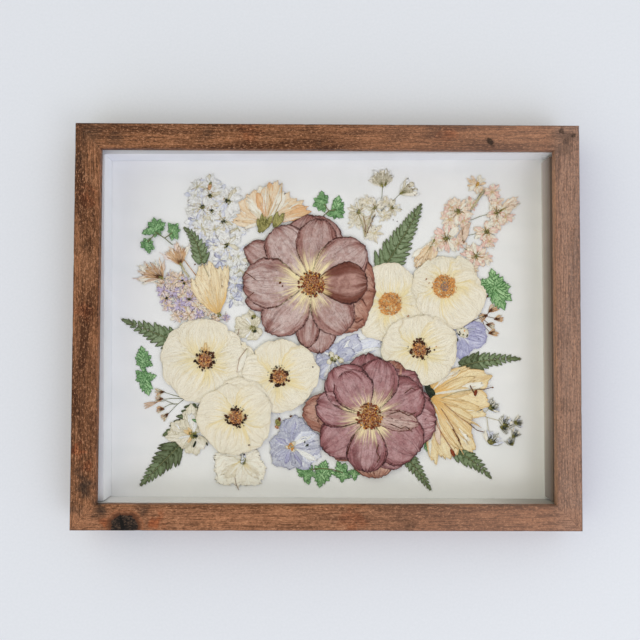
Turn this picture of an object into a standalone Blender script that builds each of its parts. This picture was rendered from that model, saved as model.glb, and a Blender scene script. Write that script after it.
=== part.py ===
"""A pressed flower frame: a wooden shadow box lying on its back.

Four mitred rails hold a pane of glass, four white liner strips and a white backing board.
Flowers, ferns and leaves, each dried flat, are laid on the board in six layers.

X runs to the right and Y up as the picture is looked at, Z comes out of the picture.
The origin is the middle of the back plane. The frame is in metres; the plants are laid
out in millimetres from the middle of the board, and scaled when they are made solid.
"""

import math

import bmesh
import bpy

MM = 0.001
INCH = 0.0254

# Frame
OUTER_WIDTH = 15 * INCH
OUTER_HEIGHT = 12 * INCH
DEPTH = 1.375 * INCH
FACE = 0.75 * INCH  # width of a rail seen from the front
LIP = 0.25 * INCH  # the rabbet's width, and the thickness of the lip in front of it
ARRIS = 0.7 * MM  # eased edge
GAP = 0.3 * MM  # clearance between two pieces that touch

# What the rabbet holds
GLASS_THICK = 2.0 * MM
BOARD_THICK = 3.0 * MM
BOARD_TOP = 6.0 * MM
LINER_THICK = 3 / 16 * INCH
POINT_LENGTH = 9.0 * MM
POINT_WIDTH = 6.0 * MM
POINT_THICK = 0.8 * MM
POINT_TOP = 2.7 * MM

# Inner faces of the liner strips, from the middle of the board, and how far each is out of
# square, in degrees: they were cut and fitted by hand
LINER_LEFT = -169.3 * MM
LINER_RIGHT = 170.8 * MM
LINER_TOP = 132.2 * MM
LINER_BOTTOM = -133.9 * MM
LINER_LENGTH = 353.0 * MM
SKEW_LEFT = 0.6
SKEW_RIGHT = 0.25
SKEW_TOP = 0.45
SKEW_BOTTOM = -0.2

# Plants, in millimetres
SHEET = 0.25  # thickness of a dried petal or leaf
RISE = 0.025  # how much higher each piece of a plant lies than the one before it
TURNS = 6  # after so many pieces the next one lies low again
ROSE_RISE = 0.04
FLAT = 0.001  # radians within which two faces are one flat side
LAYERS = (0.3, 1.05, 1.8, 2.55, 3.7, 4.45)  # underside of each layer, above the board


# ---------------------------------------------------------------- materials


def linear(value):
    """One channel of a display colour, 0 to 255, as linear light."""
    c = value / 255
    return c / 12.92 if c <= 0.04045 else ((c + 0.055) / 1.055) ** 2.4


def material(name, colour, roughness, metallic=0.0, transmission=0.0):
    """A Principled material of one display colour."""
    made = bpy.data.materials.new(name)
    made.use_nodes = True
    shader = made.node_tree.nodes["Principled BSDF"]
    shader.inputs["Base Color"].default_value = [*map(linear, colour), 1]
    shader.inputs["Roughness"].default_value = roughness
    shader.inputs["Metallic"].default_value = metallic
    shader.inputs["Transmission Weight"].default_value = transmission
    return made


# ---------------------------------------------------------------- outlines, in millimetres


def around(x, y, angle, distance, aside=0.0):
    """The point at a distance along a direction from (x, y), and so far to its left."""
    a = math.radians(angle)
    return (
        x + distance * math.cos(a) - aside * math.sin(a),
        y + distance * math.sin(a) + aside * math.cos(a),
    )


def petal(x, y, angle, reach, width, steps=4, belly=0.8, tip=4.0, foot=0.07):
    """A petal with its foot at (x, y): widest beyond the middle, with a round end."""
    peak = (belly / (belly + tip / 2)) ** (1 / tip)
    widest = peak**belly * math.sqrt(1 - peak**tip)
    left, right = [], []
    for i in range(steps):
        s = math.sin(math.pi / 2 * i / steps)
        half = width / 2 * max(foot, s**belly * math.sqrt(1 - s**tip) / widest)
        right.append(around(x, y, angle, reach * s, -half))
        left.append(around(x, y, angle, reach * s, half))
    return right + [around(x, y, angle, reach)] + left[::-1]


def disc(x, y, radius, sides=10, turn=0.0):
    """A regular polygon."""
    return [around(x, y, turn + 360 * i / sides, radius) for i in range(sides)]


def oval(x, y, angle, length, width, sides=6):
    """An ellipse round (x, y), its length along the direction."""
    points = []
    for i in range(sides):
        a = 2 * math.pi * (i + 0.5) / sides
        points.append(around(x, y, angle, length / 2 * math.cos(a), width / 2 * math.sin(a)))
    return points


def floret(x, y, radius, petals=5, turn=0.0, notch=0.5):
    """A small open flower: petal tips with notches between them."""
    points = []
    for i in range(petals):
        a = turn + 360 * i / petals
        points.append(around(x, y, a, radius))
        points.append(around(x, y, a + 180 / petals, radius * notch))
    return points


def fan(x, y, angle, reach, spread, teeth=3, foot=0.8):
    """A flower pressed from its side: a narrow foot that opens to a toothed edge."""
    points = [around(x, y, angle, 0, foot), around(x, y, angle, 0, -foot)]
    for i in range(2 * teeth - 1):
        a = angle + spread * (i / (2 * teeth - 2) - 0.5)
        points.append(around(x, y, a, reach * (1 if i % 2 == 0 else 0.82)))
    return points


def lobed(x, y, lobes, notch=0.6):
    """A leaf of pointed lobes, each (angle, reach), with a notch between neighbours."""
    lobes = sorted((angle % 360, reach) for angle, reach in lobes)
    points = []
    for (angle, reach), (after, after_reach) in zip(lobes, lobes[1:] + lobes[:1]):
        step = (after - angle) % 360
        points.append(around(x, y, angle, reach))
        points.append(around(x, y, angle + step / 2, notch * min(reach, after_reach)))
    return points


def strip(points, width):
    """A stalk of one width along some points."""
    left, right = [], []
    for i, (x, y) in enumerate(points):
        x0, y0 = points[max(i - 1, 0)]
        x1, y1 = points[min(i + 1, len(points) - 1)]
        angle = math.degrees(math.atan2(y1 - y0, x1 - x0))
        left.append(around(x, y, angle, 0, width / 2))
        right.append(around(x, y, angle, 0, -width / 2))
    return right + left[::-1]


def fern(tip, bend, foot, pinna, pairs, lean=55.0):
    """A fern tip as one outline: pairs of pinnae that shorten along a bent midrib."""

    def midrib(t):
        return tuple(
            (1 - t) ** 2 * f + 2 * t * (1 - t) * (2 * b - (f + e) / 2) + t * t * e
            for f, b, e in zip(foot, bend, tip)
        )

    sides = []
    for side in (-1, 1):
        points = []
        for i in range(pairs):
            low, middle, high = (midrib((i + k) / pairs) for k in (0, 0.5, 1))
            step = math.dist(low, high)
            along = math.degrees(math.atan2(high[1] - low[1], high[0] - low[0]))
            length = pinna * (1 - (i + 0.5) / pairs) ** 0.85 + 0.4
            notch = 0.5 + 0.12 * length
            points.append(around(*low, along, 0, side * notch))
            shoulder = around(*middle, along + side * lean, 0.6 * length)
            points.append(around(*shoulder, along, -0.3 * step))
            points.append(around(*middle, along + side * lean, length))
        sides.append(points)
    return sides[0] + [tuple(tip)] + sides[1][::-1]


# ---------------------------------------------------------------- solids


def add_prism(mesh, outline, low, high):
    """Adds an upright prism of an outline to a bmesh. All in metres."""
    turning = sum(a[0] * b[1] - b[0] * a[1] for a, b in zip(outline, outline[1:] + outline[:1]))
    if turning < 0:
        outline = outline[::-1]
    bottom = [mesh.verts.new((x, y, low)) for x, y in outline]
    top = [mesh.verts.new((x, y, high)) for x, y in outline]
    mesh.faces.new(bottom[::-1])
    mesh.faces.new(top)
    for i, corner in enumerate(bottom):
        j = (i + 1) % len(bottom)
        mesh.faces.new((corner, bottom[j], top[j], top[i]))


def new_object(name, mesh, look=None):
    """An object made from a bmesh."""
    data = bpy.data.meshes.new(name)
    mesh.to_mesh(data)
    mesh.free()
    made = bpy.data.objects.new(name, data)
    bpy.context.scene.collection.objects.link(made)
    if look:
        data.materials.append(look)
    return made


def box(name, low, high, look):
    """A plain board between two corners."""
    mesh = bmesh.new()
    outline = [(low[0], low[1]), (high[0], low[1]), (high[0], high[1]), (low[0], high[1])]
    add_prism(mesh, outline, low[2], high[2])
    return new_object(name, mesh, look)


def plates(name, pieces):
    """Prisms of (outline, low, high), given in millimetres above the board, side by side."""
    mesh = bmesh.new()
    for outline, low, high in pieces:
        scaled = [(x * MM, y * MM) for x, y in outline]
        add_prism(mesh, scaled, BOARD_TOP + low * MM, BOARD_TOP + high * MM)
    return new_object(name, mesh)


def merge_flat_faces(data):
    """Joins the faces of one flat side that the union left in bits."""
    mesh = bmesh.new()
    mesh.from_mesh(data)
    bmesh.ops.dissolve_limit(mesh, angle_limit=FLAT, verts=mesh.verts, edges=mesh.edges)
    mesh.to_mesh(data)
    mesh.free()


def fuse(name, pieces, look):
    """One solid of all the pieces of a plant, which lie over and through one another."""
    whole = plates(name, pieces[:1])
    if len(pieces) > 1:
        others = plates(name + "_pieces", pieces[1:])
        join = whole.modifiers.new("join", "BOOLEAN")
        join.operation = "UNION"
        join.solver = "EXACT"
        join.use_self = True
        join.object = others
        graph = bpy.context.evaluated_depsgraph_get()
        joined = bpy.data.meshes.new_from_object(whole.evaluated_get(graph))
        whole.modifiers.clear()
        whole.data = joined
        joined.name = name
        merge_flat_faces(joined)
        bpy.data.objects.remove(others)
    whole.data.materials.clear()
    whole.data.materials.append(look)
    return whole


def plant(name, layer, look, outlines, feet=(), turns=TURNS):
    """A dried plant: its outlines lie a little over one another from the layer's height up,
    and each foot (x, y, radius, height above the layer) stands on the board."""
    low = LAYERS[layer]
    pieces = [(disc(x, y, radius, 6), LAYERS[0], low + height) for x, y, radius, height in feet]
    for i, outline in enumerate(outlines):
        lift = low + RISE * (i % turns)
        pieces.append((outline, lift, lift + SHEET))
    return fuse(name, pieces, look)


# ---------------------------------------------------------------- the frame


def rail(name, length, breadth, turn, look):
    """One mitred rail. Its profile is swept along the side at +Y, then turned into place."""
    face, back = FACE, FACE - LIP
    rabbet_top = DEPTH - LIP
    profile = [  # distance in from the outer face, height
        (ARRIS, 0),
        (back, 0),
        (back, rabbet_top),
        (face, rabbet_top),
        (face, DEPTH - ARRIS),
        (face - ARRIS, DEPTH),
        (ARRIS, DEPTH),
        (0, DEPTH - ARRIS),
        (0, ARRIS),
    ]
    slack = GAP / math.sqrt(2)
    c, s = round(math.cos(math.radians(turn))), round(math.sin(math.radians(turn)))
    mesh = bmesh.new()
    ends = []
    for side in (-1, 1):
        ring = []
        for inward, height in profile:
            x = side * (length / 2 - inward - slack)
            y = breadth / 2 - inward
            ring.append(mesh.verts.new((c * x - s * y, s * x + c * y, height)))
        ends.append(ring)
    mesh.faces.new(ends[0])
    mesh.faces.new(ends[1][::-1])
    for i in range(len(profile)):
        j = (i + 1) % len(profile)
        mesh.faces.new((ends[0][i], ends[1][i], ends[1][j], ends[0][j]))
    bmesh.ops.recalc_face_normals(mesh, faces=mesh.faces)
    return new_object(name, mesh, look)


def make_frame():
    """Rails, glass, liner, board and the points that hold the board in."""
    wood = material("stained_wood", (140, 98, 70), 0.5)
    rail("rail_top", OUTER_WIDTH, OUTER_HEIGHT, 0, wood)
    rail("rail_left", OUTER_HEIGHT, OUTER_WIDTH, 90, wood)
    rail("rail_bottom", OUTER_WIDTH, OUTER_HEIGHT, 180, wood)
    rail("rail_right", OUTER_HEIGHT, OUTER_WIDTH, 270, wood)

    half_x = OUTER_WIDTH / 2 - FACE + LIP - GAP
    half_y = OUTER_HEIGHT / 2 - FACE + LIP - GAP
    glass_top = DEPTH - LIP - GAP
    glass = material("clear_glass", (245, 248, 248), 0.02, transmission=1.0)
    low = (-half_x, -half_y, glass_top - GLASS_THICK)
    box("front_glass", low, (half_x, half_y, glass_top), glass)

    board = material("white_board", (222, 224, 226), 0.85)
    low = (-half_x, -half_y, BOARD_TOP - BOARD_THICK)
    box("backing_board", low, (half_x, half_y, BOARD_TOP), board)

    make_liner(glass_top - GLASS_THICK - GAP)
    make_points(half_x, half_y)


def make_liner(top):
    """Four white strips on edge between the board and the glass, each a little askew."""
    card = material("white_card", (226, 228, 230), 0.8)
    half = LINER_THICK / 2
    low, high = BOARD_TOP + GAP, top
    room = LINER_TOP - LINER_BOTTOM
    lean = math.tan(math.radians(SKEW_TOP)) * LINER_LENGTH / 2
    side_length = room - 2 * lean - GAP
    strips = (
        ("liner_top", 0, LINER_TOP + half, LINER_LENGTH, SKEW_TOP),
        ("liner_bottom", 0, LINER_BOTTOM - half, LINER_LENGTH, SKEW_BOTTOM),
        ("liner_left", LINER_LEFT - half, (LINER_TOP + LINER_BOTTOM) / 2, side_length, SKEW_LEFT),
        ("liner_right", LINER_RIGHT + half, (LINER_TOP + LINER_BOTTOM) / 2, side_length, SKEW_RIGHT),
    )
    for name, x, y, length, skew in strips:
        across = 0 if name in ("liner_top", "liner_bottom") else 90
        mesh = bmesh.new()
        outline = [
            around(x, y, across + skew, sx * length / 2, sy * half)
            for sx, sy in ((-1, -1), (1, -1), (1, 1), (-1, 1))
        ]
        add_prism(mesh, outline, low, high)
        new_object(name, mesh, card)


def make_points(half_x, half_y):
    """Steel points behind the board: two on each long side and one on each short side."""
    steel = material("steel", (150, 150, 152), 0.35, 1.0)
    third = OUTER_WIDTH / 6
    places = (
        ("point_top_left", -third, half_y, 90),
        ("point_top_right", third, half_y, 90),
        ("point_bottom_left", -third, -half_y, 270),
        ("point_bottom_right", third, -half_y, 270),
        ("point_left", -half_x, 0, 180),
        ("point_right", half_x, 0, 0),
    )
    for name, x, y, outward in places:
        root = [around(x, y, outward, 0, side * POINT_WIDTH / 2) for side in (-1, 1)]
        nose = [around(x, y, outward, -POINT_LENGTH, side * POINT_WIDTH / 6) for side in (1, -1)]
        mesh = bmesh.new()
        add_prism(mesh, root + nose, POINT_TOP - POINT_THICK, POINT_TOP)
        new_object(name, mesh, steel)


# ---------------------------------------------------------------- the roses

# Each petal is (angle, reach, width), the lowest first
ROSE_UPPER_AT = (-12.0, 33.3)
ROSE_UPPER = (
    (150, 60, 24),
    (88, 55, 44),
    (-7, 51, 57),
    (-39, 52.5, 32),
    (-84, 55, 32),
    (197, 54, 20),
    (124, 53.5, 33),
    (-95, 50, 18),
    (82.5, 52, 36),
    (-53, 46.5, 32),
    (228, 51, 33),
    (37, 52, 33),
    (179, 54.5, 40),
    (2, 44, 33.5),
)
ROSE_LOWER_AT = (33.6, -70.6)
ROSE_LOWER = (
    (92, 49.5, 34),
    (62, 48.5, 23),
    (37.5, 49.5, 28),
    (0, 52, 31.5),
    (175, 52, 29),
    (-83.5, 48, 30),
    (228, 41, 24),
    (185, 40, 8),
    (81.5, 47.5, 31.5),
    (28.5, 49, 30),
    (-39.5, 46, 32.5),
    (217.5, 42, 30),
    (-7, 38.5, 16.5),
    (-95, 41, 28.5),
    (165.5, 42.5, 23),
    (123, 46, 33),
)
ROSE_STAMENS = 11.5  # radius of the ring of stamens
ROSE_CALYX = 5.0


def make_rose(name, place, petals, layer, look):
    """An open rose: broad petals over one another round a raised ring of stamens."""
    x, y = place
    low = LAYERS[layer]
    pieces = [(disc(x, y, ROSE_CALYX, 6), LAYERS[0], low + SHEET)]
    for i, (angle, reach, width) in enumerate(petals):
        lift = low + ROSE_RISE * i
        pieces.append((petal(x, y, angle, reach, width), lift, lift + SHEET))
    heart = low + ROSE_RISE * len(petals) + SHEET
    pieces.append((disc(x, y, ROSE_STAMENS, 10), low, heart))
    pieces.append((disc(x, y, ROSE_STAMENS / 2, 6), low, heart + SHEET))
    fuse(name, pieces, look)


def make_roses():
    look = material("dusky_rose", (158, 112, 116), 0.7)
    make_rose("rose_upper", ROSE_UPPER_AT, ROSE_UPPER, 3, look)
    make_rose("rose_lower", ROSE_LOWER_AT, ROSE_LOWER, 5, look)


# ---------------------------------------------------------------- the cream flowers

# Name, layer, centre, and the petals as (angle, reach), lowest first
CREAM_FLOWERS = (
    (
        "cream_flower_1",
        3,
        (-95.4, -27.0),
        ((135, 34.5), (300, 30), (20, 31.5), (180, 34.5), (90, 32.5), (235, 33.5)),
    ),
    ("cream_flower_2", 4, (-37.1, -39.5), ((170, 25.5), (-115, 28.5), (90, 29.5), (-45, 28.5), (18, 31.5))),
    ("cream_flower_3", 5, (-70.9, -71.2), ((100, 27), (-42, 29), (175, 30.5), (-110, 29.5), (30, 29))),
    ("cream_flower_4", 4, (72.9, -17.7), ((165, 29.5), (90, 27.5), (-55, 29), (240, 29), (20, 30.5))),
    ("cream_flower_5", 2, (49.9, 17.9), ((10, 31), (150, 24), (90, 32), (225, 31), (-60, 28))),
    ("cream_flower_6", 3, (92.8, 31.9), ((95, 24), (20, 28.5), (165, 26), (250, 28), (-45, 35.5))),
)
CREAM_BREADTH = 1.18  # a petal's width over its reach
CREAM_CALYX = 4.0
ANTHERS = 8.2  # radius of the ring of anthers
CREAM_HEART = 0.55  # its height


def make_cream_flowers():
    look = material("cream_petals", (232, 224, 200), 0.8)
    for name, layer, (x, y), petals in CREAM_FLOWERS:
        low = LAYERS[layer]
        pieces = [(disc(x, y, CREAM_CALYX, 6), LAYERS[0], low + SHEET)]
        for i, (angle, reach) in enumerate(petals):
            lift = low + RISE * i
            pieces.append((petal(x, y, angle, reach, CREAM_BREADTH * reach), lift, lift + SHEET))
        pieces.append((disc(x, y, ANTHERS, 8), low, low + CREAM_HEART))
        fuse(name, pieces, look)


# ---------------------------------------------------------------- blooms

# A bloom's petals are (angle, reach, width) about one foot
BLOOMS = (
    (
        "peach_bloom",
        1,
        (-48.4, 82.6),
        (236, 206, 170),
        (
            (46, 33, 10),
            (20.5, 36, 12),
            (178, 26.5, 11),
            (143, 20.5, 13),
            (117, 25, 15),
            (85, 27.5, 12),
            (67, 32.5, 8),
        ),
    ),
    (
        "yellow_bloom_left",
        2,
        (-85.0, 8.8),
        (235, 214, 160),
        ((125, 34.5, 12), (83, 39, 6), (111.5, 43, 11), (92.5, 36, 14), (101.5, 43, 13)),
    ),
    (
        "yellow_bloom_right",
        2,
        (80.2, -54.0),
        (232, 206, 140),
        (
            (51, 27, 13),
            (26, 43, 12),
            (-86.5, 53, 11),
            (-78, 50, 12),
            (-19, 45.5, 19),
            (17.5, 51.5, 20),
            (-67, 52.5, 17),
            (-4, 47.5, 19),
            (-52, 52.5, 23),
        ),
    ),
    (
        "lavender_bloom",
        1,
        (104.8, -4.7),
        (150, 146, 200),
        ((90, 24, 20.5), (-116, 15.5, 9), (-82, 19.5, 17), (-8, 22, 19)),
    ),
    (
        "blue_hydrangea",
        1,
        (-27.5, -94.4),
        (170, 176, 210),
        (
            (100, 22, 14),
            (73, 24, 18),
            (-47, 21.5, 16),
            (8, 24.5, 20),
            (165, 16, 15),
            (225, 19, 15),
            (265, 17, 13),
        ),
    ),
    (
        "pale_blue_bloom",
        0,
        (5.7, -26.2),
        (205, 212, 228),
        ((20, 39.5, 13), (40, 27, 17), (125, 12.5, 9), (200, 15, 13), (235, 17, 11), (-95, 14, 12)),
    ),
    (
        "daisy_white",
        1,
        (-104.6, -85.3),
        (226, 226, 214),
        (
            (-75, 16, 7),
            (-32, 13.5, 5),
            (62, 13, 9),
            (256, 15, 9),
            (210, 13, 8),
            (180, 21, 10),
            (151, 19, 11),
            (94, 23.5, 14),
        ),
    ),
    (
        "cream_floret",
        1,
        (-65.4, -105.7),
        (236, 230, 212),
        ((171, 22, 12), (38, 14.5, 11), (-100, 19.5, 12), (-48, 21.5, 17), (217, 25.5, 19)),
    ),
    (
        "white_floret_spray",
        1,
        (-58.3, -1.5),
        (222, 222, 208),
        ((100, 13, 8), (320, 9, 8), (250, 10, 8), (200, 14, 9), (150, 14, 9), (60, 9, 7)),
    ),
)


BLOOM_CALYX = 3.5
BLOOM_FOOT = 2.0


def make_blooms():
    """Flowers pressed from the side or half open, each with its calyx down on the board."""
    for name, layer, (x, y), colour, petals in BLOOMS:
        look = material(name, colour, 0.8)
        outlines = [petal(x, y, *shape, 3) for shape in petals]
        outlines.append(disc(x, y, BLOOM_CALYX, 6))
        plant(name, layer, look, outlines, [(x, y, BLOOM_FOOT, SHEET)], turns=len(outlines))


# ---------------------------------------------------------------- ferns and leaves

# Tip, a point on the midrib half way, foot, longest pinna, pairs of pinnae, layer
FERNS = (
    ((-162.1, 5.4), (-139.2, -4.0), (-117, -12.5), 12.7, 7, 0),
    ((-145.6, -125.2), (-130.2, -108.9), (-113.9, -92.5), 14.0, 7, 0),
    ((-113.6, 78.1), (-103.5, 66.5), (-98.5, 48.0), 9.2, 5, 1),
    ((75.0, 98.1), (60.5, 71.5), (41.5, 41.0), 16.0, 9, 1),
    ((153.8, -25.1), (128.9, -25.9), (104.0, -31.5), 11.2, 7, 0),
    ((129.7, -119.2), (116.0, -106.0), (99.0, -96.5), 9.6, 6, 0),
    ((82.1, -128.2), (73.5, -115.5), (62.5, -101.0), 7.7, 6, 0),
    ((-128.5, -86.5), (-114.5, -75.0), (-100.0, -61.5), 8.5, 5, 0),
)

# Each leaf is one or more lobed blades (x, y, lobes), and its stalks
LEAVES = (
    (
        "leaf_1",
        2,
        (
            (
                -135.4,
                76.5,
                ((139, 8), (99, 9), (63, 8.8), (33, 9), (2, 7), (-49, 6.5), (-94, 6.7), (199, 11)),
            ),
            (-141.6, 63.8, ((160, 6), (198, 5.7), (-76, 7), (-30, 6.5), (33, 5.2), (67, 6), (118, 6))),
            (-121.2, 75.0, ((122, 7.5), (61, 7), (7, 5.5), (-63, 7.5), (-100, 7.4), (186, 4.8))),
        ),
        (
            ((-135.4, 74), (-128.1, 69.2), (-121.7, 63.8)),
            ((-141.6, 66), (-135.4, 72.5)),
            ((-128.1, 69.2), (-122, 73.5)),
        ),
    ),
    (
        "leaf_2",
        0,
        (
            (-144.0, -28.0, ((98, 12), (153, 7.3), (204, 6), (270, 8), (-23, 8), (37, 7.6))),
            (-143.0, -41.0, ((90, 8), (140, 9), (195, 7.2), (245, 7.2), (-75, 14), (-10, 6.8), (12, 9.4))),
        ),
        (),
    ),
    (
        "leaf_3",
        0,
        (
            (-4.2, 98.6, ((91, 9), (50, 7.3), (156, 7.1), (203, 7.8), (250, 7.6), (-74, 8.3), (0, 5.1))),
            (6.7, 90.1, ((79, 14), (29, 7.5), (5, 7.4), (-30, 7.3), (-103, 5.2), (191, 7.4), (130, 5))),
        ),
        (((-2.7, 87.7), (1.4, 91.6), (6.7, 92.5)), ((-2.5, 97), (1.4, 91.6))),
    ),
    (
        "leaf_4",
        1,
        (
            (
                133.1,
                31.0,
                (
                    (100, 15.2),
                    (156, 14),
                    (176, 11.6),
                    (207, 8.3),
                    (56, 10.7),
                    (6, 12),
                    (-37, 16),
                    (-67, 18.5),
                    (-99, 12.4),
                ),
            ),
        ),
        (),
    ),
    (
        "leaf_5",
        0,
        (
            (-16.0, -115.0, ((145, 9.2), (196, 6.3), (-75, 8.9), (101, 8.6), (50, 8), (-5, 8))),
            (-3.4, -115.5, ((-100, 10.7), (-42, 7.9), (10, 10), (75, 11), (131, 8.6), (201, 7))),
            (12.9, -115.8, ((175, 8), (-96, 6.4), (-20, 7), (113, 11), (77, 9))),
            (22.3, -115.0, ((5, 5.2), (-90, 5.7), (165, 6), (69, 4.8))),
        ),
        (((-12, -112), (-3.4, -111), (5, -112), (13, -114.5)),),
    ),
    ("leaf_6", 0, ((80.5, -87.0, ((80, 8), (170, 4), (-100, 10.5), (-10, 4))),), ()),
)


def make_greens():
    green = material("fern_green", (98, 128, 92), 0.75)
    for i, (tip, bend, foot, pinna, pairs, layer) in enumerate(FERNS, 1):
        feet = [(*foot, 1.0, SHEET)] if layer else []
        plant(f"fern_{i}", layer, green, [fern(tip, bend, foot, pinna, pairs)], feet)
    bright = material("leaf_green", (96, 160, 104), 0.7)
    for name, layer, blades, stalks in LEAVES:
        outlines = [strip(points, 0.9) for points in stalks]
        outlines += [lobed(*blade) for blade in blades]
        x, y, _ = blades[0]
        feet = [(x, y, 1.0, SHEET)] if layer else []
        plant(name, layer, bright, outlines, feet)


# ---------------------------------------------------------------- sprays

# A spray is its stalks, its open florets (x, y, radius, petals), its side-on florets
# (x, y, angle, reach, spread) and its buds (x, y, angle, length, width)
SPRAYS = (
    (
        "white_larkspur",
        0,
        (222, 224, 226),
        (((-92.4, 112), (-92, 95), (-84, 66), (-76, 17)), ((-88, 82), (-98, 95)), ((-86, 76), (-79.8, 99))),
        (
            (-92.4, 112.5, 9.5, 4),
            (-93.5, 103, 9.5, 4),
            (-100, 94.7, 13, 5),
            (-91, 91.5, 11, 4),
            (-79.8, 99.6, 13.5, 5),
            (-81.8, 83.7, 13, 4),
            (-78.5, 63.4, 12.5, 4),
            (-98.5, 77, 11, 4),
            (-77, 43, 11, 5),
            (-74, 24, 10, 4),
        ),
        (),
        (),
    ),
    (
        "purple_spray",
        1,
        (190, 172, 200),
        (
            ((-92, 9.5), (-106, 22), (-113, 38), (-115.2, 49)),
            ((-112, 34), (-123, 38), (-129.5, 37)),
            ((-108, 26), (-120, 27), (-128.7, 27.7), (-126, 16)),
            ((-104, 18), (-111, 9), (-117.6, 8)),
            ((-92, 9.5), (-88, 4.6), (-79.3, 5.2)),
        ),
        (
            (-123.1, 39.5, 4.5, 4),
            (-117.0, 37.1, 6, 4),
            (-128.7, 27.7, 5.5, 4),
            (-120.3, 26.9, 4.5, 3),
            (-107.8, 30.4, 6, 4),
            (-108.6, 21.2, 7.5, 5),
            (-101.5, 15.4, 6, 4),
            (-108.4, 8.2, 6, 4),
            (-117.6, 8.0, 5.5, 4),
            (-125.3, 15.9, 5, 4),
            (-79.3, 6.4, 3.2, 3),
        ),
        ((-115.2, 48.5, 103, 17, 62), (-129.3, 36.5, 135, 15, 70), (-131, 38, 165, 17, 50)),
        (),
    ),
    (
        "cream_sprig",
        0,
        (230, 224, 202),
        (
            ((30.2, 71.9), (36.8, 88), (43.5, 103), (44, 112)),
            ((30.2, 71.9), (31, 80), (26, 90)),
            ((36, 86), (47, 95), (58.5, 106)),
        ),
        ((51.7, 95.1, 8, 4), (36.8, 93.4, 7.5, 4), (25.5, 91, 9, 5), (36.5, 74, 7, 4)),
        ((44, 111, 115, 14, 70), (46, 112, 75, 12, 40), (58, 105.5, 30, 14, 62)),
        ((31.5, 80.5, 95, 18, 8),),
    ),
    (
        "pink_spray",
        1,
        (236, 202, 184),
        (
            ((106, 64), (110, 78), (114.5, 93), (122, 107), (118.8, 113)),
            ((110, 78), (105.7, 90)),
            ((112, 84), (122, 88), (133, 91)),
            ((106, 64), (95, 70.5)),
            ((109, 72), (118, 74), (126, 75)),
            ((106, 64), (116, 58), (115.5, 47)),
        ),
        (
            (120.5, 112.5, 8, 4),
            (131.0, 106.0, 7.5, 4),
            (103.5, 91.6, 12, 5),
            (134.5, 90.5, 10, 5),
            (94.0, 69.5, 12, 5),
            (126.4, 75.0, 10.5, 5),
            (118.0, 56.5, 11, 4),
            (115.0, 47.0, 6, 3),
        ),
        ((93.0, 70.0, 228, 35, 16),),
        ((109.5, 78, 72, 13, 5.5),),
    ),
    (
        "bud_spray_left",
        0,
        (176, 140, 104),
        (
            ((-109.5, -57), (-119.2, -54.6), (-128.5, -51.7)),
            ((-112, -57), (-121, -56.8), (-131, -58)),
            ((-111.7, -57.4), (-117.6, -62), (-124.5, -69.5)),
            ((-117, -61), (-123, -61.5), (-128.5, -64.5)),
            ((-119, -61.5), (-126, -58.6), (-133, -59.5)),
        ),
        (),
        (),
        (
            (-130.3, -51.9, 180, 7.5, 5.5),
            (-129.8, -57.5, 180, 6, 4.5),
            (-130.2, -64.9, 170, 6.5, 5.5),
            (-126.2, -70.8, 230, 6.5, 5.5),
            (-137.5, -61.0, 200, 11.5, 2.4),
        ),
    ),
    (
        "bud_spray_right",
        0,
        (178, 134, 92),
        (
            ((114.5, 4.5), (124.5, 8.7), (131, 13.5)),
            ((124.5, 8.7), (134, 6.8)),
            ((122, 7.5), (127.5, 3), (129, 1.5)),
            ((122, 7.5), (125, 0), (129.5, -5)),
        ),
        (),
        (),
        (
            (132.0, 14.6, 60, 8, 7),
            (136.0, 6.5, 0, 7.5, 6),
            (130.0, 1.0, 0, 7, 6.5),
            (131.5, -5.0, 0, 7, 6.5),
            (124.5, 8.2, 20, 7, 5),
        ),
    ),
    (
        "bud_twig",
        0,
        (150, 132, 104),
        (((111.5, 16.2), (120, 21), (127.5, 25.4)),),
        (),
        (),
        ((114.5, 17.8, 32, 9.5, 4.2), (123.8, 21.8, 30, 4.5, 3.2)),
    ),
    (
        "thistle_sprig",
        1,
        (150, 150, 142),
        (
            ((118.0, -68.0), (128.0, -71.5), (142.0, -75.0), (151.3, -74.2)),
            ((122.0, -69.5), (131.7, -62.3)),
            ((126.0, -71.0), (130.8, -87.5)),
            ((142.0, -75.0), (148.5, -82.0), (144.4, -90.2)),
        ),
        (
            (142.0, -75.1, 6.2, 6),
            (151.0, -74.2, 3.4, 4),
        ),
        (),
        (
            (131.7, -62.3, 20, 10, 7.5),
            (131.0, -87.5, 0, 12, 9),
            (148.5, -83.5, 55, 9, 5),
            (144.4, -90.2, 120, 7, 4.5),
        ),
    ),
)
STALK = 1.0
SPRAY_TURN = 37.0  # each open floret is turned this much further than the one before


def make_sprays():
    """Flowering sprays and dry buds on their stalks."""
    for name, layer, colour, stalks, open_florets, side_florets, buds in SPRAYS:
        look = material(name, colour, 0.8)
        outlines = [strip(points, STALK) for points in stalks]
        for i, (x, y, radius, petals) in enumerate(open_florets):
            outlines.append(floret(x, y, radius, petals, SPRAY_TURN * i, 0.55))
        outlines += [fan(*shape) for shape in side_florets]
        outlines += [oval(*shape) for shape in buds]
        x, y = stalks[0][1]
        feet = [(x, y, 1.2, SHEET)] if layer else []
        plant(name, layer, look, outlines, feet, turns=1)


# ---------------------------------------------------------------- build

for old in list(bpy.data.objects):
    bpy.data.objects.remove(old)

make_frame()
make_roses()
make_cream_flowers()
make_blooms()
make_greens()
make_sprays()
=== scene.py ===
"""A pressed flower frame, dressed: stained wood, glass, white card, and dried plants on a board.

The plants are laid out in millimetres from the middle of the board, X to the right and Y up
the picture, with heights above the board. Each is gathered as points and faces in a Plant,
which makes one mesh of it in metres.
"""

import random
from math import atan2, cos, degrees, dist, pi, radians, sin, sqrt

import bpy
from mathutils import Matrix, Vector, noise


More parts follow.
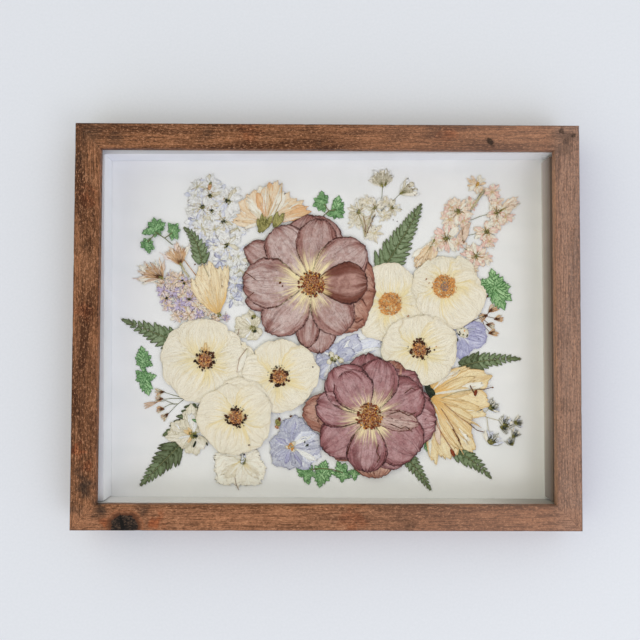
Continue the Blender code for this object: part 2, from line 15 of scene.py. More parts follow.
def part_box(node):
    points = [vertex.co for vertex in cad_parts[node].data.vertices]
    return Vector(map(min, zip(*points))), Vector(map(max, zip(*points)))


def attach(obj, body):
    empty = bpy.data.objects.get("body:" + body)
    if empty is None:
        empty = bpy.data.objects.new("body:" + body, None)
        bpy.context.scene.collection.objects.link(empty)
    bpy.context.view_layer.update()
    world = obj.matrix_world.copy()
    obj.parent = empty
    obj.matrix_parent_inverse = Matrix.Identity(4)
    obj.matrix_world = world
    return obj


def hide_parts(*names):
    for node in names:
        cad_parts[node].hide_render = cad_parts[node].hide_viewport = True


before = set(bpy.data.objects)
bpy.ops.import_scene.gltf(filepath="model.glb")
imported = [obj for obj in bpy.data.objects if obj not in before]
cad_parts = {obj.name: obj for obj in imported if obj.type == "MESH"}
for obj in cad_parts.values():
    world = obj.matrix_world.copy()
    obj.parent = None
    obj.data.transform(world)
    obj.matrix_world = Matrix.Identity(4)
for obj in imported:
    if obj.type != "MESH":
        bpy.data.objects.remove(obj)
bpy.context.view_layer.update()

MM = 0.001
BOARD_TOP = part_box("backing_board")[1][2]
FRAME_LOW, FRAME_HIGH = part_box("rail_bottom")[0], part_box("rail_top")[1]
OUTER_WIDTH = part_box("rail_right")[1][0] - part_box("rail_left")[0][0]
OUTER_HEIGHT = FRAME_HIGH[1] - FRAME_LOW[1]
DEPTH = FRAME_HIGH[2]
FACE = FRAME_HIGH[1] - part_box("rail_top")[0][1]
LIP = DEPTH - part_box("front_glass")[1][2] - 0.3 * MM

LAYERS = (0.3, 0.6, 1.05, 1.35, 2.05, 2.4)  # underside of each layer, above the board

# ---------------------------------------------------------------- node materials


def linear(value):
    """One channel of a display colour, 0 to 255, as linear light."""
    c = value / 255
    return c / 12.92 if c <= 0.04045 else ((c + 0.055) / 1.055) ** 2.4


def colour(red, green, blue):
    return (linear(red), linear(green), linear(blue), 1.0)


def add_node(tree, kind, inputs, **settings):
    """A new shader node with its settings, and each input linked or given a value."""
    made = tree.nodes.new("ShaderNode" + kind)
    for key, value in settings.items():
        setattr(made, key, value)
    for key, value in inputs.items():
        if isinstance(value, bpy.types.NodeSocket):
            tree.links.new(value, made.inputs[key])
        else:
            made.inputs[key].default_value = value
    return made


class Look:
    """A node material, built step by step: each call returns a socket for the next one."""

    def __init__(self, name, roughness, specular=0.3):
        self.made = bpy.data.materials.new(name)
        self.made.use_nodes = True
        self.tree = self.made.node_tree
        self.shader = self.tree.nodes["Principled BSDF"]
        self.shader.inputs["Roughness"].default_value = roughness
        self.shader.inputs["Specular IOR Level"].default_value = specular
        self.base = None

    def node(self, kind, inputs, **settings):
        return add_node(self.tree, kind, inputs, **settings)

    def place(self):
        """The point in the row frame, in metres."""
        return self.node("TexCoord", {}).outputs["Object"]

    def value(self, name, output="Vector"):
        """A value that the mesh carries at each point."""
        return self.node("Attribute", {}, attribute_name=name).outputs[output]

    def stretch(self, vector, scale, offset=(0, 0, 0)):
        inputs = {0: vector, 1: scale, 2: offset}
        return self.node("VectorMath", inputs, operation="MULTIPLY_ADD").outputs[0]

    def length(self, vector):
        return self.node("VectorMath", {0: vector}, operation="LENGTH").outputs["Value"]

    def part(self, vector, axis):
        return self.node("SeparateXYZ", {0: vector}).outputs[axis]

    def noise(self, vector, scale, detail, rough=0.5, twist=0.0):
        inputs = {"Vector": vector, "Scale": scale, "Detail": detail, "Roughness": rough}
        return self.node("TexNoise", inputs | {"Distortion": twist}).outputs["Fac"]

    def maths(self, operation, a, b=0.0):
        return self.node("Math", {0: a, 1: b}, operation=operation).outputs[0]

    def band(self, value, low, high, to_low=0.0, to_high=1.0):
        """A soft step from to_low to to_high as value goes from low to high."""
        inputs = {"Value": value, "From Min": low, "From Max": high, "To Min": to_low, "To Max": to_high}
        return self.node("MapRange", inputs, interpolation_type="SMOOTHSTEP").outputs["Result"]

    def mix(self, factor, a, b, blend="MIX"):
        """From colour a to colour b. The node's colours are its inputs 6 and 7, and its output 2."""
        inputs = {0: factor, 6: a, 7: b}
        return self.node("Mix", inputs, data_type="RGBA", blend_type=blend).outputs[2]

    def lay(self, share, tone, blend="MIX"):
        """Lays a tone over the base colour, where and as far as the share says."""
        self.base = self.mix(share, self.base, tone, blend)

    def wash(self, tone, value, low, high, depth):
        """Lays a tone that comes in, up to the depth, as value goes from low to high."""
        self.lay(self.band(value, low, high, 0, depth), tone)

    def near(self, x, y, radius):
        """1 at a point of the front, in millimetres, falling to 0 at a radius that wavers."""
        apart = self.stretch(self.place(), (1 / MM, 1 / MM, 0), (-x, -y, 0))
        shake = self.band(self.noise(self.place(), 140, 3), 0.3, 0.7, -PATCH_WAVER, PATCH_WAVER)
        return self.band(self.maths("ADD", self.length(apart), shake), radius, 0.0)

    def finish(self, height=None, strength=0.3, distance=0.2 * MM, rough=None):
        """Links the base colour, and a bump height in the unit of distance."""
        sockets = {"Base Color": self.base, "Roughness": rough}
        if height is not None:
            inputs = {"Height": height, "Strength": strength, "Distance": distance}
            sockets["Normal"] = self.node("Bump", inputs).outputs["Normal"]
        for key, socket in sockets.items():
            if socket is not None:
                self.tree.links.new(socket, self.shader.inputs[key])
        return self.made


# The darker patches in the stain: x, y, radius and depth
STAINS = (
    (-160, 141, 10, 0.4), (-178, 143, 16, 0.4), (-187, 124, 12, 0.3), (-186, 60, 8, 0.35),
    (-179, -121, 11, 0.85), (-184, -108, 7, 0.5), (-168, -137, 10, 0.85), (-137, -137, 8, 0.6),
    (-186, -136, 8, 0.5), (180, 141, 15, 0.55), (176.7, 148, 3, 0.7), (185.8, 144, 2.5, 0.7),
    (122.9, 140.5, 2.6, 0.9), (-5.2, 136, 3, 0.5), (-90, 146, 6, 0.35), (60, -147, 7, 0.3),
    (176, -60, 9, 0.25),
)
# The patches where the stain is thin and warm: x, y, radius and depth
BARE = (
    (-186, -94, 8, 0.6), (-179, -106, 5, 0.4), (-128, -146, 9, 0.6), (-165, -147, 6, 0.5),
    (-181, 96, 9, 0.35), (-182, 10, 10, 0.3), (20, -144, 14, 0.35), (-60, 147, 12, 0.3), (90, 144, 10, 0.3),
)
KNOT, CRACK = (-150.0, -148.5), (-152.4, -143.5)  # their middles
PATCH_WAVER = 4  # how far the edge of a patch strays from its circle, in millimetres


def stained_wood():
    """Brown stain on a fine-pored wood, with painted sheen: the window's glare on the satin coat is painted
    as a paler tone on the right rail and towards the right. The mesh's grain value runs along and across it.
    """
    look = Look("stained_wood", 0.5, 0.18)
    grain = look.value("grain")
    place = look.place()
    broad = look.noise(look.stretch(grain, (10, 90, 7)), 1, 4, 0.6, 0.8)
    streak = look.noise(look.stretch(grain, (45, 1100, 3)), 1, 4, 0.7, 0.3)
    speck = look.noise(look.stretch(grain, (420, 900, 9)), 1, 3, 0.8, 0.4)
    pores = look.noise(look.stretch(grain, (800, 2600, 5)), 1, 2, 0.7)
    # painted sheen: the mask of the right rail, where the window's glare is painted paler
    right = look.band(look.part(place, 0), 0.164, 0.18)
    bottom = look.band(look.part(place, 1), -0.132, -0.14)
    zone = look.noise(look.stretch(grain, (16, 40, 11)), 1, 3, 0.6, 0.6)
    look.base = look.mix(look.band(broad, 0.32, 0.66), colour(86, 50, 27), colour(168, 114, 78))
    for share, tone in (
        (look.band(zone, 0.5, 0.68, 0, 0.5), (70, 40, 22)),
        (look.band(zone, 0.46, 0.3, 0, 0.35), (186, 134, 98)),
        # painted sheen: the right rail washed paler, as the glare of the window light
        (look.maths("MULTIPLY", right, 0.55), (174, 147, 131)),
        (look.maths("MULTIPLY", bottom, 0.4), (190, 134, 100)),
        (look.band(streak, 0.42, 0.62, 0, 0.7), (62, 34, 18)),
        (look.band(speck, 0.52, 0.68, 0, 0.72), (204, 150, 114)),
        (look.band(speck, 0.5, 0.34, 0, 0.65), (42, 24, 13)),
        (look.band(pores, 0.56, 0.68, 0, 0.7), (32, 18, 11)),
        (look.maths("MULTIPLY", bottom, 0.06), (182, 130, 98)),
        # painted sheen: a pale wash that grows towards the right, as the glare of the window light
        (look.band(look.part(place, 0), -0.04, 0.18, 0, 0.25), (166, 136, 124)),
    ):
        look.lay(share, colour(*tone))
    for x, y, radius, depth in BARE:
        spot = look.maths("MULTIPLY", look.near(x, y, radius), depth)
        look.lay(spot, colour(196, 128, 82), "SOFT_LIGHT")
    dark = look.mix(look.band(speck, 0.5, 0.65), colour(44, 33, 26), colour(84, 66, 52))
    for x, y, radius, depth in STAINS:
        look.lay(look.maths("MULTIPLY", look.near(x, y, radius), depth), dark)
    rings = look.stretch(place, (1 / MM, 1.25 / MM, 0), (-KNOT[0], -1.25 * KNOT[1], 0))
    waver = look.band(look.noise(place, 260, 3), 0.2, 0.8, -1.2, 1.2)
    far = look.maths("ADD", look.length(rings), waver)
    ring = look.maths("SINE", look.maths("MULTIPLY", far, 1.9))
    halo = look.maths("MULTIPLY", look.band(far, 17, 10), look.band(ring, -0.4, 0.8, 0.25, 0.7))
    look.lay(halo, colour(150, 80, 42))
    look.wash(colour(78, 48, 32), far, 14.5, 10.5, 0.85)
    knot = look.mix(look.band(speck, 0.48, 0.62), colour(24, 18, 15), colour(82, 64, 52))
    look.lay(look.band(far, 10.4, 9.2), knot)
    crack = look.stretch(place, (1 / MM, 1 / MM, 0), (-CRACK[0], -CRACK[1], 0))
    tilt = look.maths("ADD", look.part(crack, 0), look.maths("MULTIPLY", look.part(crack, 1), 0.2))
    width = look.band(look.part(crack, 1), 5.5, -4.5, 0.0, 1.5)
    inside = look.maths("SUBTRACT", width, look.maths("ABSOLUTE", tilt))
    look.wash(colour(10, 7, 6), inside, -0.2, 0.25, 0.95)
    arris = look.band(look.value("arris", "Fac"), 0.3, 1.0, 0.0, 0.5)
    look.lay(arris, colour(52, 32, 22))
    relief = look.maths("SUBTRACT", look.band(speck, 0.3, 0.7), look.band(pores, 0.56, 0.7))
    rough = look.band(look.noise(place, 60, 2), 0.3, 0.7, 0.42, 0.6)
    return look.finish(relief, 0.4, 0.06 * MM, rough)


def card_look(name, tone, tooth, corner=None):
    """White card: a faint mottle, and a tooth of so many bumps a metre. The corner tone,
    a painted shadow of the right rail, grows towards the right end."""
    look = Look(name, 0.85, 0.2)
    mottle = look.noise(look.place(), 35, 4, 0.6)
    paper = look.noise(look.place(), tooth, 3, 0.6)
    low = tuple(0.955 * c for c in tone[:3]) + (1.0,)
    look.base = look.mix(look.band(mottle, 0.3, 0.7), low, tone)
    look.wash(low, paper, 0.35, 0.7, 0.25)
    if corner:
        # painted shadow: the card darkens towards the right rail
        look.wash(corner, look.part(look.place(), 0), 0.1, 0.168, 0.85)
    return look.finish(paper, 0.25, 0.12 * MM)


def painted_shade_card_look():
    """The card of the right side, with its shade painted in: grey brown, darker towards the front and towards
    the bottom, and lighter just above the board.
    """
    look = Look("right_card_painted_shade", 0.85, 0.2)
    upwards, height = (look.part(look.place(), i) for i in (1, 2))
    paper = look.noise(look.place(), 1500, 3, 0.6)
    # painted shade: the wall darkens from the board up to the front
    look.base = look.mix(look.band(height, 0.008, 0.026), colour(172, 162, 157), colour(116, 102, 94))
    # painted light: bounce from the board, a paler band just above it
    look.lay(look.band(height, 0.011, 0.006), colour(206, 200, 197))
    # painted shade: darker towards the bottom corner
    look.wash(colour(70, 60, 54), upwards, -0.05, -0.125, 0.4)
    look.wash(colour(120, 106, 98), paper, 0.35, 0.7, 0.2)
    return look.finish(paper, 0.25, 0.12 * MM)


def glass_look():
    """A clear pane: plain transmission and IOR, and the faint smears of a wiped pane."""
    look = Look("clear_glass", 0.0, 0.5)
    look.shader.inputs["Transmission Weight"].default_value = 1.0
    look.shader.inputs["IOR"].default_value = 1.45
    smear = look.noise(look.stretch(look.place(), (14, 60, 30)), 1, 3)
    look.base = look.mix(look.band(smear, 0.4, 0.7), colour(253, 254, 254), colour(250, 252, 252))
    return look.finish()


def steel_look():
    look = Look("steel", 0.4)
    look.shader.inputs["Metallic"].default_value = 1.0
    brushed = look.noise(look.stretch(look.place(), (400, 4000, 400)), 1, 3)
    look.base = look.mix(brushed, colour(132, 132, 134), colour(176, 176, 178))
    return look.finish(brushed, 0.2, 0.05 * MM)


def floor_look():
    look = Look("pale_floor", 0.9, 0.2)
    weave = look.noise(look.place(), 500, 3)
    look.base = look.mix(weave, colour(225, 230, 238), colour(233, 237, 245))
    return look.finish(weave, 0.1, 0.1 * MM)


def petal_look(
    name, light, deep, vein, rim, heart, veins, vein_depth, rim_width, rim_depth, shade_width, shade_depth,
    heart_reach, crease=0.35, mottle=0.0, midrib=0.0, heart_depth=0.9, relief=0.6,
):
    """A dried petal. Its mesh carries along (0 at the foot, 1 at the tip), across (-1 to 1)
    and a tint for each petal, and the distance from its edge in millimetres."""
    look = Look(name, 0.75, 0.15)
    petal = look.value("petal")
    edge = look.value("edge", "Fac")
    along, across, tint = (look.part(petal, i) for i in range(3))
    fine = look.noise(look.stretch(petal, (1.8, veins, 61)), 1, 4, 0.7, 0.2)
    broad = look.noise(look.stretch(petal, (1.3, veins / 5, 37)), 1, 2, 0.5, 0.5)
    fold = look.noise(look.stretch(petal, (2.4, veins / 3, 83)), 1, 2, 0.6, 0.9)
    blotch = look.noise(look.place(), 190, 4, 0.65, 0.5)
    wrinkle = look.noise(look.place(), 700, 4, 0.7)
    look.base = look.mix(look.band(blotch, 0.34, 0.66, 0, 0.6), light, deep)
    look.wash(deep, tint, 0, 1, 0.4)
    shore = look.maths("ADD", edge, look.band(broad, 0.3, 0.7, shade_width * 0.5, -shade_width * 0.5))
    look.wash(deep, shore, shade_width, 0, shade_depth)
    shore = look.maths("ADD", edge, look.band(fine, 0.35, 0.65, shade_width * 0.3, -shade_width * 0.3))
    look.wash(vein, shore, shade_width * 0.45, 0, 0.7 * shade_depth)
    look.wash(vein, broad, 0.52, 0.72, vein_depth)
    look.wash(vein, fine, 0.53, 0.63, vein_depth)
    look.wash(vein, wrinkle, 0.52, 0.7, vein_depth)
    look.wash(light, wrinkle, 0.48, 0.3, vein_depth * 0.7)
    if mottle:
        speckle = look.noise(look.place(), 1100, 3, 0.7)
        look.wash(colour(224, 224, 226), speckle, 0.52, 0.64, mottle)
        look.wash(vein, speckle, 0.46, 0.34, mottle)
    flare = look.maths("ADD", along, look.band(broad, 0.3, 0.7, 0.4 * heart_reach, -0.4 * heart_reach))
    look.wash(heart, flare, 0.9 * heart_reach, 0.1 * heart_reach, heart_depth)
    flare = look.maths("ADD", along, look.band(fine, 0.36, 0.64, 0.5 * heart_reach, -0.5 * heart_reach))
    look.wash(heart, flare, heart_reach, 0.2 * heart_reach, heart_depth)
    lines = look.maths("ABSOLUTE", look.maths("SUBTRACT", fold, 0.5))
    lines = look.band(lines, 0.014, 0.002, 0, crease)
    look.lay(look.maths("MULTIPLY", lines, look.band(along, 0.1, 0.5)), rim)
    if midrib:
        look.wash(light, look.maths("ABSOLUTE", across), 0.16, 0.05, midrib)
    ragged = look.maths("ADD", edge, look.band(wrinkle, 0.3, 0.7, rim_width * 0.6, -rim_width * 0.6))
    worn = look.band(blotch, 0.36, 0.56, 0.35 * rim_depth, rim_depth)
    rim_at = look.maths("MULTIPLY", look.band(ragged, rim_width, rim_width * 0.2), worn)
    look.lay(rim_at, rim)
    height = look.maths("ADD", fine, look.maths("MULTIPLY", wrinkle, 0.8))
    height = look.maths("ADD", height, look.maths("MULTIPLY", broad, 1.4))
    height = look.maths("SUBTRACT", height, lines)
    return look.finish(height, relief, 0.4 * MM)


def speck_look(name, light, dark):
    """Stamens, buds and stalks: one colour broken by specks of another."""
    look = Look(name, 0.8, 0.1)
    petal = look.value("petal")
    speck = look.noise(look.place(), 900, 2, 0.6)
    look.base = look.mix(look.band(speck, 0.35, 0.65), light, dark)
    look.wash(dark, look.part(petal, 2), 0, 1, 0.5)
    return look.finish(speck, 0.4, 0.15 * MM)


# Each petal look: its light, deep, vein, rim and heart colours, then how many veins it has and how
# strong they are, the width and depth of its rim and of the shade inside it, how far its heart reaches,
# and where they differ from most, its crease, mottle, midrib, heart depth and relief
PETAL_LOOKS = {
    "rose_mauve": ((201, 182, 177), (153, 110, 102), (88, 40, 31), (52, 20, 16), (238, 218, 172),
        (13, 0.36, 1.7, 0.85, 9, 0.9, 0.42)),
    "rose_brown": ((198, 162, 146), (156, 107, 91), (112, 66, 53), (66, 30, 23), (232, 204, 150),
        (12, 0.4, 1.5, 0.85, 10, 0.9, 0.36, 0.8)),
    "rose_dark": ((178, 140, 130), (112, 66, 55), (90, 50, 40), (50, 22, 16), (236, 206, 150),
        (9, 0.16, 1.8, 0.85, 13, 0.95, 0.3, 0.15)),
    "rose_wine": ((195, 162, 163), (143, 91, 93), (76, 28, 30), (46, 17, 18), (238, 216, 172),
        (13, 0.36, 1.7, 0.85, 9, 0.9, 0.42)),
    "rose_pale": ((208, 188, 178), (178, 146, 138), (120, 72, 68), (86, 40, 36), (236, 214, 164),
        (9, 0.5, 1.2, 0.85, 7, 0.8, 0.3, 0.9)),
    "cream": ((229, 223, 207), (223, 215, 194), (204, 188, 156), (188, 168, 134), (227, 205, 134),
        (30, 0.35, 0.8, 0.15, 4, 0.3, 0.56, 0.4, 0, 0, 0.42, 0.7)),
    "cream_thin": ((234, 231, 220), (230, 224, 208), (216, 203, 184), (200, 188, 164), (208, 202, 172),
        (12, 0.3, 0.6, 0.4, 3, 0.4, 0.3)),
    "peach": ((226, 215, 195), (223, 200, 166), (208, 172, 126), (196, 156, 114), (156, 150, 96),
        (8, 0.4, 0.5, 0.55, 3, 0.6, 0.16)),
    "coral": ((225, 200, 164), (217, 173, 128), (200, 146, 98), (186, 132, 88), (176, 140, 86),
        (8, 0.4, 0.5, 0.55, 4, 0.7, 0.16)),
    "butter": ((229, 216, 182), (222, 199, 150), (192, 152, 96), (172, 134, 86), (220, 174, 102),
        (9, 0.4, 0.4, 0.4, 3, 0.8, 0.55)),
    "straw": ((232, 221, 193), (226, 209, 173), (202, 172, 128), (182, 150, 110), (218, 180, 116),
        (9, 0.4, 0.4, 0.4, 3, 0.8, 0.55)),
    "lavender": ((204, 204, 222), (168, 168, 198), (136, 135, 172), (124, 118, 156), (222, 222, 220),
        (10, 0.5, 0.6, 0.85, 7, 0.8, 0.4, 0.35, 0.4)),
    "hydrangea": ((206, 207, 213), (175, 177, 191), (142, 144, 168), (132, 130, 150), (200, 196, 150),
        (9, 0.4, 0.6, 0.85, 6, 0.8, 0.22, 0.35, 0.6)),
    "pale_blue": ((210, 210, 214), (182, 184, 202), (148, 150, 180), (138, 138, 164), (186, 186, 140),
        (8, 0.4, 0.6, 0.85, 4, 0.8, 0.2, 0.35, 0.6)),
    "ice": ((225, 226, 228), (211, 213, 224), (176, 180, 204), (186, 188, 202), (204, 204, 194),
        (8, 0.5, 0.4, 0.4, 2, 0.5, 0.3)),
    "white": ((248, 247, 244), (238, 236, 230), (180, 176, 160), (172, 168, 150), (184, 178, 144),
        (11, 0.42, 0.3, 0.5, 1, 0.3, 0.3)),
    "ivory": ((225, 220, 205), (213, 206, 184), (174, 162, 128), (158, 146, 114), (176, 170, 114),
        (9, 0.5, 0.5, 0.6, 2, 0.5, 0.3)),
    "pink": ((243, 236, 223), (237, 220, 202), (212, 178, 146), (214, 184, 160), (190, 166, 98),
        (9, 0.5, 0.5, 0.6, 3, 0.8, 0.5)),
    "rosy": ((236, 220, 211), (231, 200, 189), (210, 166, 150), (210, 162, 146), (194, 166, 100),
        (9, 0.5, 0.5, 0.6, 3, 0.8, 0.45)),
    "lilac": ((235, 225, 217), (223, 206, 200), (188, 156, 144), (164, 132, 118), (176, 148, 112),
        (7, 0.5, 0.3, 0.5, 1.2, 0.4, 0.3)),
    "violet": ((214, 207, 219), (194, 181, 209), (160, 142, 184), (146, 122, 150), (166, 144, 134),
        (7, 0.4, 0.4, 0.5, 1.5, 0.6, 0.3)),
    "tan": ((224, 208, 192), (214, 188, 166), (174, 138, 108), (154, 114, 84), (116, 88, 58),
        (7, 0.5, 0.3, 0.5, 1.5, 0.8, 0.35)),
    "amber_fan": ((220, 202, 176), (208, 172, 132), (184, 136, 90), (180, 132, 90), (112, 76, 44),
        (9, 0.5, 0.4, 0.5, 1.5, 0.8, 0.45)),
    "sepal": ((178, 170, 112), (142, 136, 82), (98, 96, 52), (92, 88, 46), (116, 112, 64),
        (6, 0.8, 0.5, 0.85, 1, 0.8, 0.3)),
    "grey_tuft": ((216, 214, 207), (194, 192, 182), (124, 122, 106), (104, 102, 86), (126, 124, 74),
        (5, 0.6, 0.4, 0.85, 1.2, 0.8, 0.4)),
    "leaf": ((182, 214, 164), (96, 150, 90), (38, 80, 34), (38, 74, 32), (66, 106, 54),
        (7, 0.62, 0.5, 0.85, 1.6, 0.8, 0.15, 0.35, 0, 0.6)),
    "fern": ((144, 158, 126), (100, 118, 82), (68, 80, 50), (72, 68, 42), (72, 86, 52),
        (4, 0.5, 0.6, 0.85, 1.8, 0.8, 0.2, 0.35, 0, 0.4)),
    "fern_dark": ((116, 128, 98), (80, 92, 62), (54, 60, 38), (62, 52, 34), (58, 66, 40),
        (4, 0.5, 0.6, 0.85, 1.8, 0.8, 0.2, 0.35, 0, 0.4)),
}
# Each speck look: a colour, and the one that its specks have
SPECK_LOOKS = {
    "stamen_gold": ((230, 182, 104), (182, 120, 54)), "stamen_rust": ((160, 84, 52), (98, 46, 32)),
    "anther_dark": ((78, 48, 30), (38, 20, 12)), "anther_orange": ((230, 178, 110), (194, 134, 76)),
    "heart_brown": ((194, 148, 112), (136, 92, 66)), "heart_grey": ((176, 150, 138), (140, 116, 108)),
    "stalk_green": ((132, 134, 96), (96, 98, 62)), "stalk_brown": ((150, 116, 88), (104, 72, 52)),
    "stalk_pale": ((198, 190, 160), (160, 148, 112)), "dark_green": ((66, 74, 54), (32, 38, 28)),
    "bud_tan": ((202, 168, 130), (160, 116, 80)), "bud_dark": ((120, 76, 46), (66, 38, 24)),
    "olive": ((156, 150, 92), (98, 96, 54)), "amber": ((214, 176, 100), (160, 120, 62)),
}

LIFT, VEIL = 1.25, 0.012  # what the pane takes from a plant's light, and what it adds


def under_glass(red, green, blue):
    """A plant's own colour, from the one that it has seen through the pane."""
    return tuple(min(1.0, max(0.004, LIFT * (linear(v) - VEIL))) for v in (red, green, blue)) + (1.0,)


def make_looks():
    looks = {}
    for name, (*colours, measures) in PETAL_LOOKS.items():
        looks[name] = petal_look(name, *(under_glass(*c) for c in colours), *measures)
    for name, colours in SPECK_LOOKS.items():
        looks[name] = speck_look(name, *(under_glass(*c) for c in colours))
    return looks


LOOKS = make_looks()

# ---------------------------------------------------------------- plants


def petal_form(belly=0.62, neck=1.0):
    """A broad petal's half width along its length: widest at belly, narrower towards the
    foot with a larger neck, and ending in a round tip."""

    def form(s):
        if s < belly:
            return sin(pi / 2 * s / belly) ** neck
        return sqrt(max(0.0, 1 - ((s - belly) / (1 - belly)) ** 2))

    return form


rounded = petal_form()


def slender(s):
    """Half width of a narrow petal with a soft point."""
    return 1.0 / 0.6 * s**0.7 * sqrt(max(0.0, 1 - s**2.2))


def pinna_form(s):
    """Half width of a fern's pinna: broad where it joins the midrib, then tapering."""
    return min(1.0, 0.55 + 2.2 * s) * (1 - s) ** 0.62


def pointed(s):
    """Half width of a leaf that runs to a point."""
    return 1.95 * s**0.55 * (1 - s) ** 0.8


RELIEF = 0.4  # how high the common relief of the petals stands


def away(x, y, far, way, z):
    """The point at height z that is so far from (x, y), in the direction of the angle way."""
    return (x + far * cos(way), y + far * sin(way), z)


def carry(data, name, kind, field, values):
    """Gives a mesh values that its material reads at each point."""
    data.attributes.new(name, kind, "POINT").data.foreach_set(field, values)


def show(name, data):
    """A new object of the scene, made of the data."""
    made = bpy.data.objects.new(name, data)
    bpy.context.scene.collection.objects.link(made)
    return made


def stand_in(name, data, node):
    """A fixed object that stands in for a CAD node."""
    made = show(name, data)
    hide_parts(node)
    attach(made, "root")


class Plant:
    """A dried plant: points with the values that its materials read, and faces."""

    def __init__(self, name, seed):
        self.name = name
        self.rng = random.Random(seed)
        self.points, self.faces, self.looks = [], [], []
        self.petals, self.edges = [], []
        self.palette = []

    def paint(self, look):
        """Gives the next face a look by its name."""
        if look not in self.palette:
            self.palette.append(look)
        self.looks.append(self.palette.index(look))

    def swell(self, x, y):
        """A low relief that every petal follows, so that none cuts another."""
        here = Vector((x / 17, y / 17, 3.7))
        fine = Vector((x / 6, y / 6, 53.7))
        return RELIEF * (0.5 + 0.5 * noise.noise(here) + 0.22 * noise.noise(fine))

    def grid(self, rows, look, loop=False):
        """Adds rows of (x, y, z, along, across, tint, edge) points, and the faces between."""
        first = len(self.points)
        width = len(rows[0])
        for row in rows:
            for x, y, z, along, across, tint, edge in row:
                self.points.append((x, y, z))
                self.petals.append((along, across, tint))
                self.edges.append(edge)
        for i in range(len(rows) - 1):
            for j in range(width if loop else width - 1):
                a = first + i * width + j
                b = first + i * width + (j + 1) % width
                self.faces.append((a, b, b + width, a + width))
                self.paint(look)

    def blade(
        self, foot, angle, reach, width, height, look, form, bend=0.0, ruffle=0.05, ragged=0.02, fold=0.0,
        rows=12, columns=8, saw=0, teeth=0.22,
    ):
        """A petal, leaf or pinna: rows of points from its foot to its tip."""
        x0, y0 = foot
        tint = self.rng.random()
        phase = self.rng.uniform(0, 300)
        cosine, sine = cos(radians(angle)), sin(radians(angle))
        grid = []
        for i in range(rows + 1):
            s = 0.02 + 0.9796 * sin(pi / 2 * i / rows)
            half = max(0.04, form(s)) * width / 2
            if saw:
                half *= 1 + teeth * (1 - 2 * (saw * s % 1.0))
            row = []
            for j in range(columns + 1):
                t = 2 * j / columns - 1
                side = 1 if t >= 0 else -1
                wave = noise.noise(Vector((s * 5, side * 3, phase)))
                tear = noise.noise(Vector((s * 19, side * 3, phase + 40)))
                lip = noise.noise(Vector((form(s) * t * 2.2, 7, phase)))
                nick = noise.noise(Vector((form(s) * t * 11, 7, phase + 60)))
                q = half * t * (1 + 2 * ruffle * wave + 2.5 * ragged * tear)
                p = reach * (s - 0.05 * s**3 * (form(s) * t) ** 2)
                p += reach * (ruffle * lip * s**4 + 1.2 * ragged * nick * s**6)
                q += bend * reach * s * s
                x, y = x0 + cosine * p - sine * q, y0 + sine * p + cosine * q
                crease = fold * noise.noise(Vector((t * 3.5, s * 0.8, phase + 9))) * s
                z = height + self.swell(x, y) + crease
                edge = min(half * (1 - abs(t)), reach * (1 - s))
                row.append((x, y, max(z, 0.08), s, t, tint, edge))
            grid.append(row)
        self.grid(grid, look)

    def tube(self, path, radius, look, sides=5, taper=1.0):
        """A stalk or filament along points (x, y, height above the relief)."""
        tint = self.rng.random()
        rows = []
        last = len(path) - 1
        for i, (x, y, z) in enumerate(path):
            before, after = path[max(i - 1, 0)], path[min(i + 1, last)]
            turn = atan2(after[1] - before[1], after[0] - before[0])
            r = radius * (1 + (taper - 1) * i / max(last, 1))
            ring = []
            for j in range(sides):
                a = 2 * pi * j / sides
                aside, up = r * cos(a), 0.7 * r * sin(a)
                at = (x - sin(turn) * aside, y + cos(turn) * aside, z + self.swell(x, y) + up)
                ring.append((*at, i / max(last, 1), 0, tint, r))
            rows.append(ring)
        self.grid(rows, look, loop=True)
        self.cap(len(self.points) - sides, sides, look)
        self.cap(len(self.points) - sides * len(rows), sides, look, flip=True)

    def cap(self, first, sides, look, flip=False):
        face = tuple(range(first, first + sides))
        self.faces.append(face[::-1] if flip else face)
        self.paint(look)

    def grain(self, x, y, z, radius, look, flat=0.7, angle=0.0, long=1.0, rings=3, sides=6):
        """A small solid lump: an anther, a bud or a seed head."""
        tint = self.rng.random()
        c, s = cos(radians(angle)), sin(radians(angle))
        lift = z + self.swell(x, y)
        rows = []
        for i in range(rings + 2):
            up = pi * (i + 0.35) / (rings + 1.7) - pi / 2
            row = []
            for j in range(sides):
                a = 2 * pi * j / sides
                p, q = long * radius * cos(up) * cos(a), radius * cos(up) * sin(a)
                at = (x + c * p - s * q, y + s * p + c * q, lift + flat * radius * sin(up))
                row.append((*at, (i + 0.5) / (rings + 2), cos(a), tint, radius))
            rows.append(row)
        first = len(self.points)
        self.grid(rows, look, loop=True)
        self.cap(first, sides, look, flip=True)
        self.cap(len(self.points) - sides, sides, look)

    def cluster(self, x, y, z, spread, count, size, look, hollow=0.0, rise=0.3):
        """Many small lumps scattered over a disc, or a ring if it is hollow."""
        for _ in range(count):
            a = self.rng.uniform(0, 2 * pi)
            r = spread * sqrt(self.rng.uniform(hollow**2, 1))
            at = away(x, y, r, a, z + self.rng.uniform(0, rise))
            self.grain(*at, size * self.rng.uniform(0.6, 1.3), look, rings=1, sides=5)

    def make(self, node):
        """The plant's mesh, in place of its CAD node."""
        data = bpy.data.meshes.new(self.name)
        points = [(x * MM, y * MM, BOARD_TOP + z * MM) for x, y, z in self.points]
        data.from_pydata(points, [], self.faces)
        data.polygons.foreach_set("material_index", self.looks)
        data.polygons.foreach_set("use_smooth", [True] * len(self.faces))
        carry(data, "petal", "FLOAT_VECTOR", "vector", [v for three in self.petals for v in three])
        carry(data, "edge", "FLOAT", "value", self.edges)
        data.update()
        for look in self.palette:
            data.materials.append(LOOKS[look])
        stand_in(self.name, data, node)


# ---------------------------------------------------------------- the frame


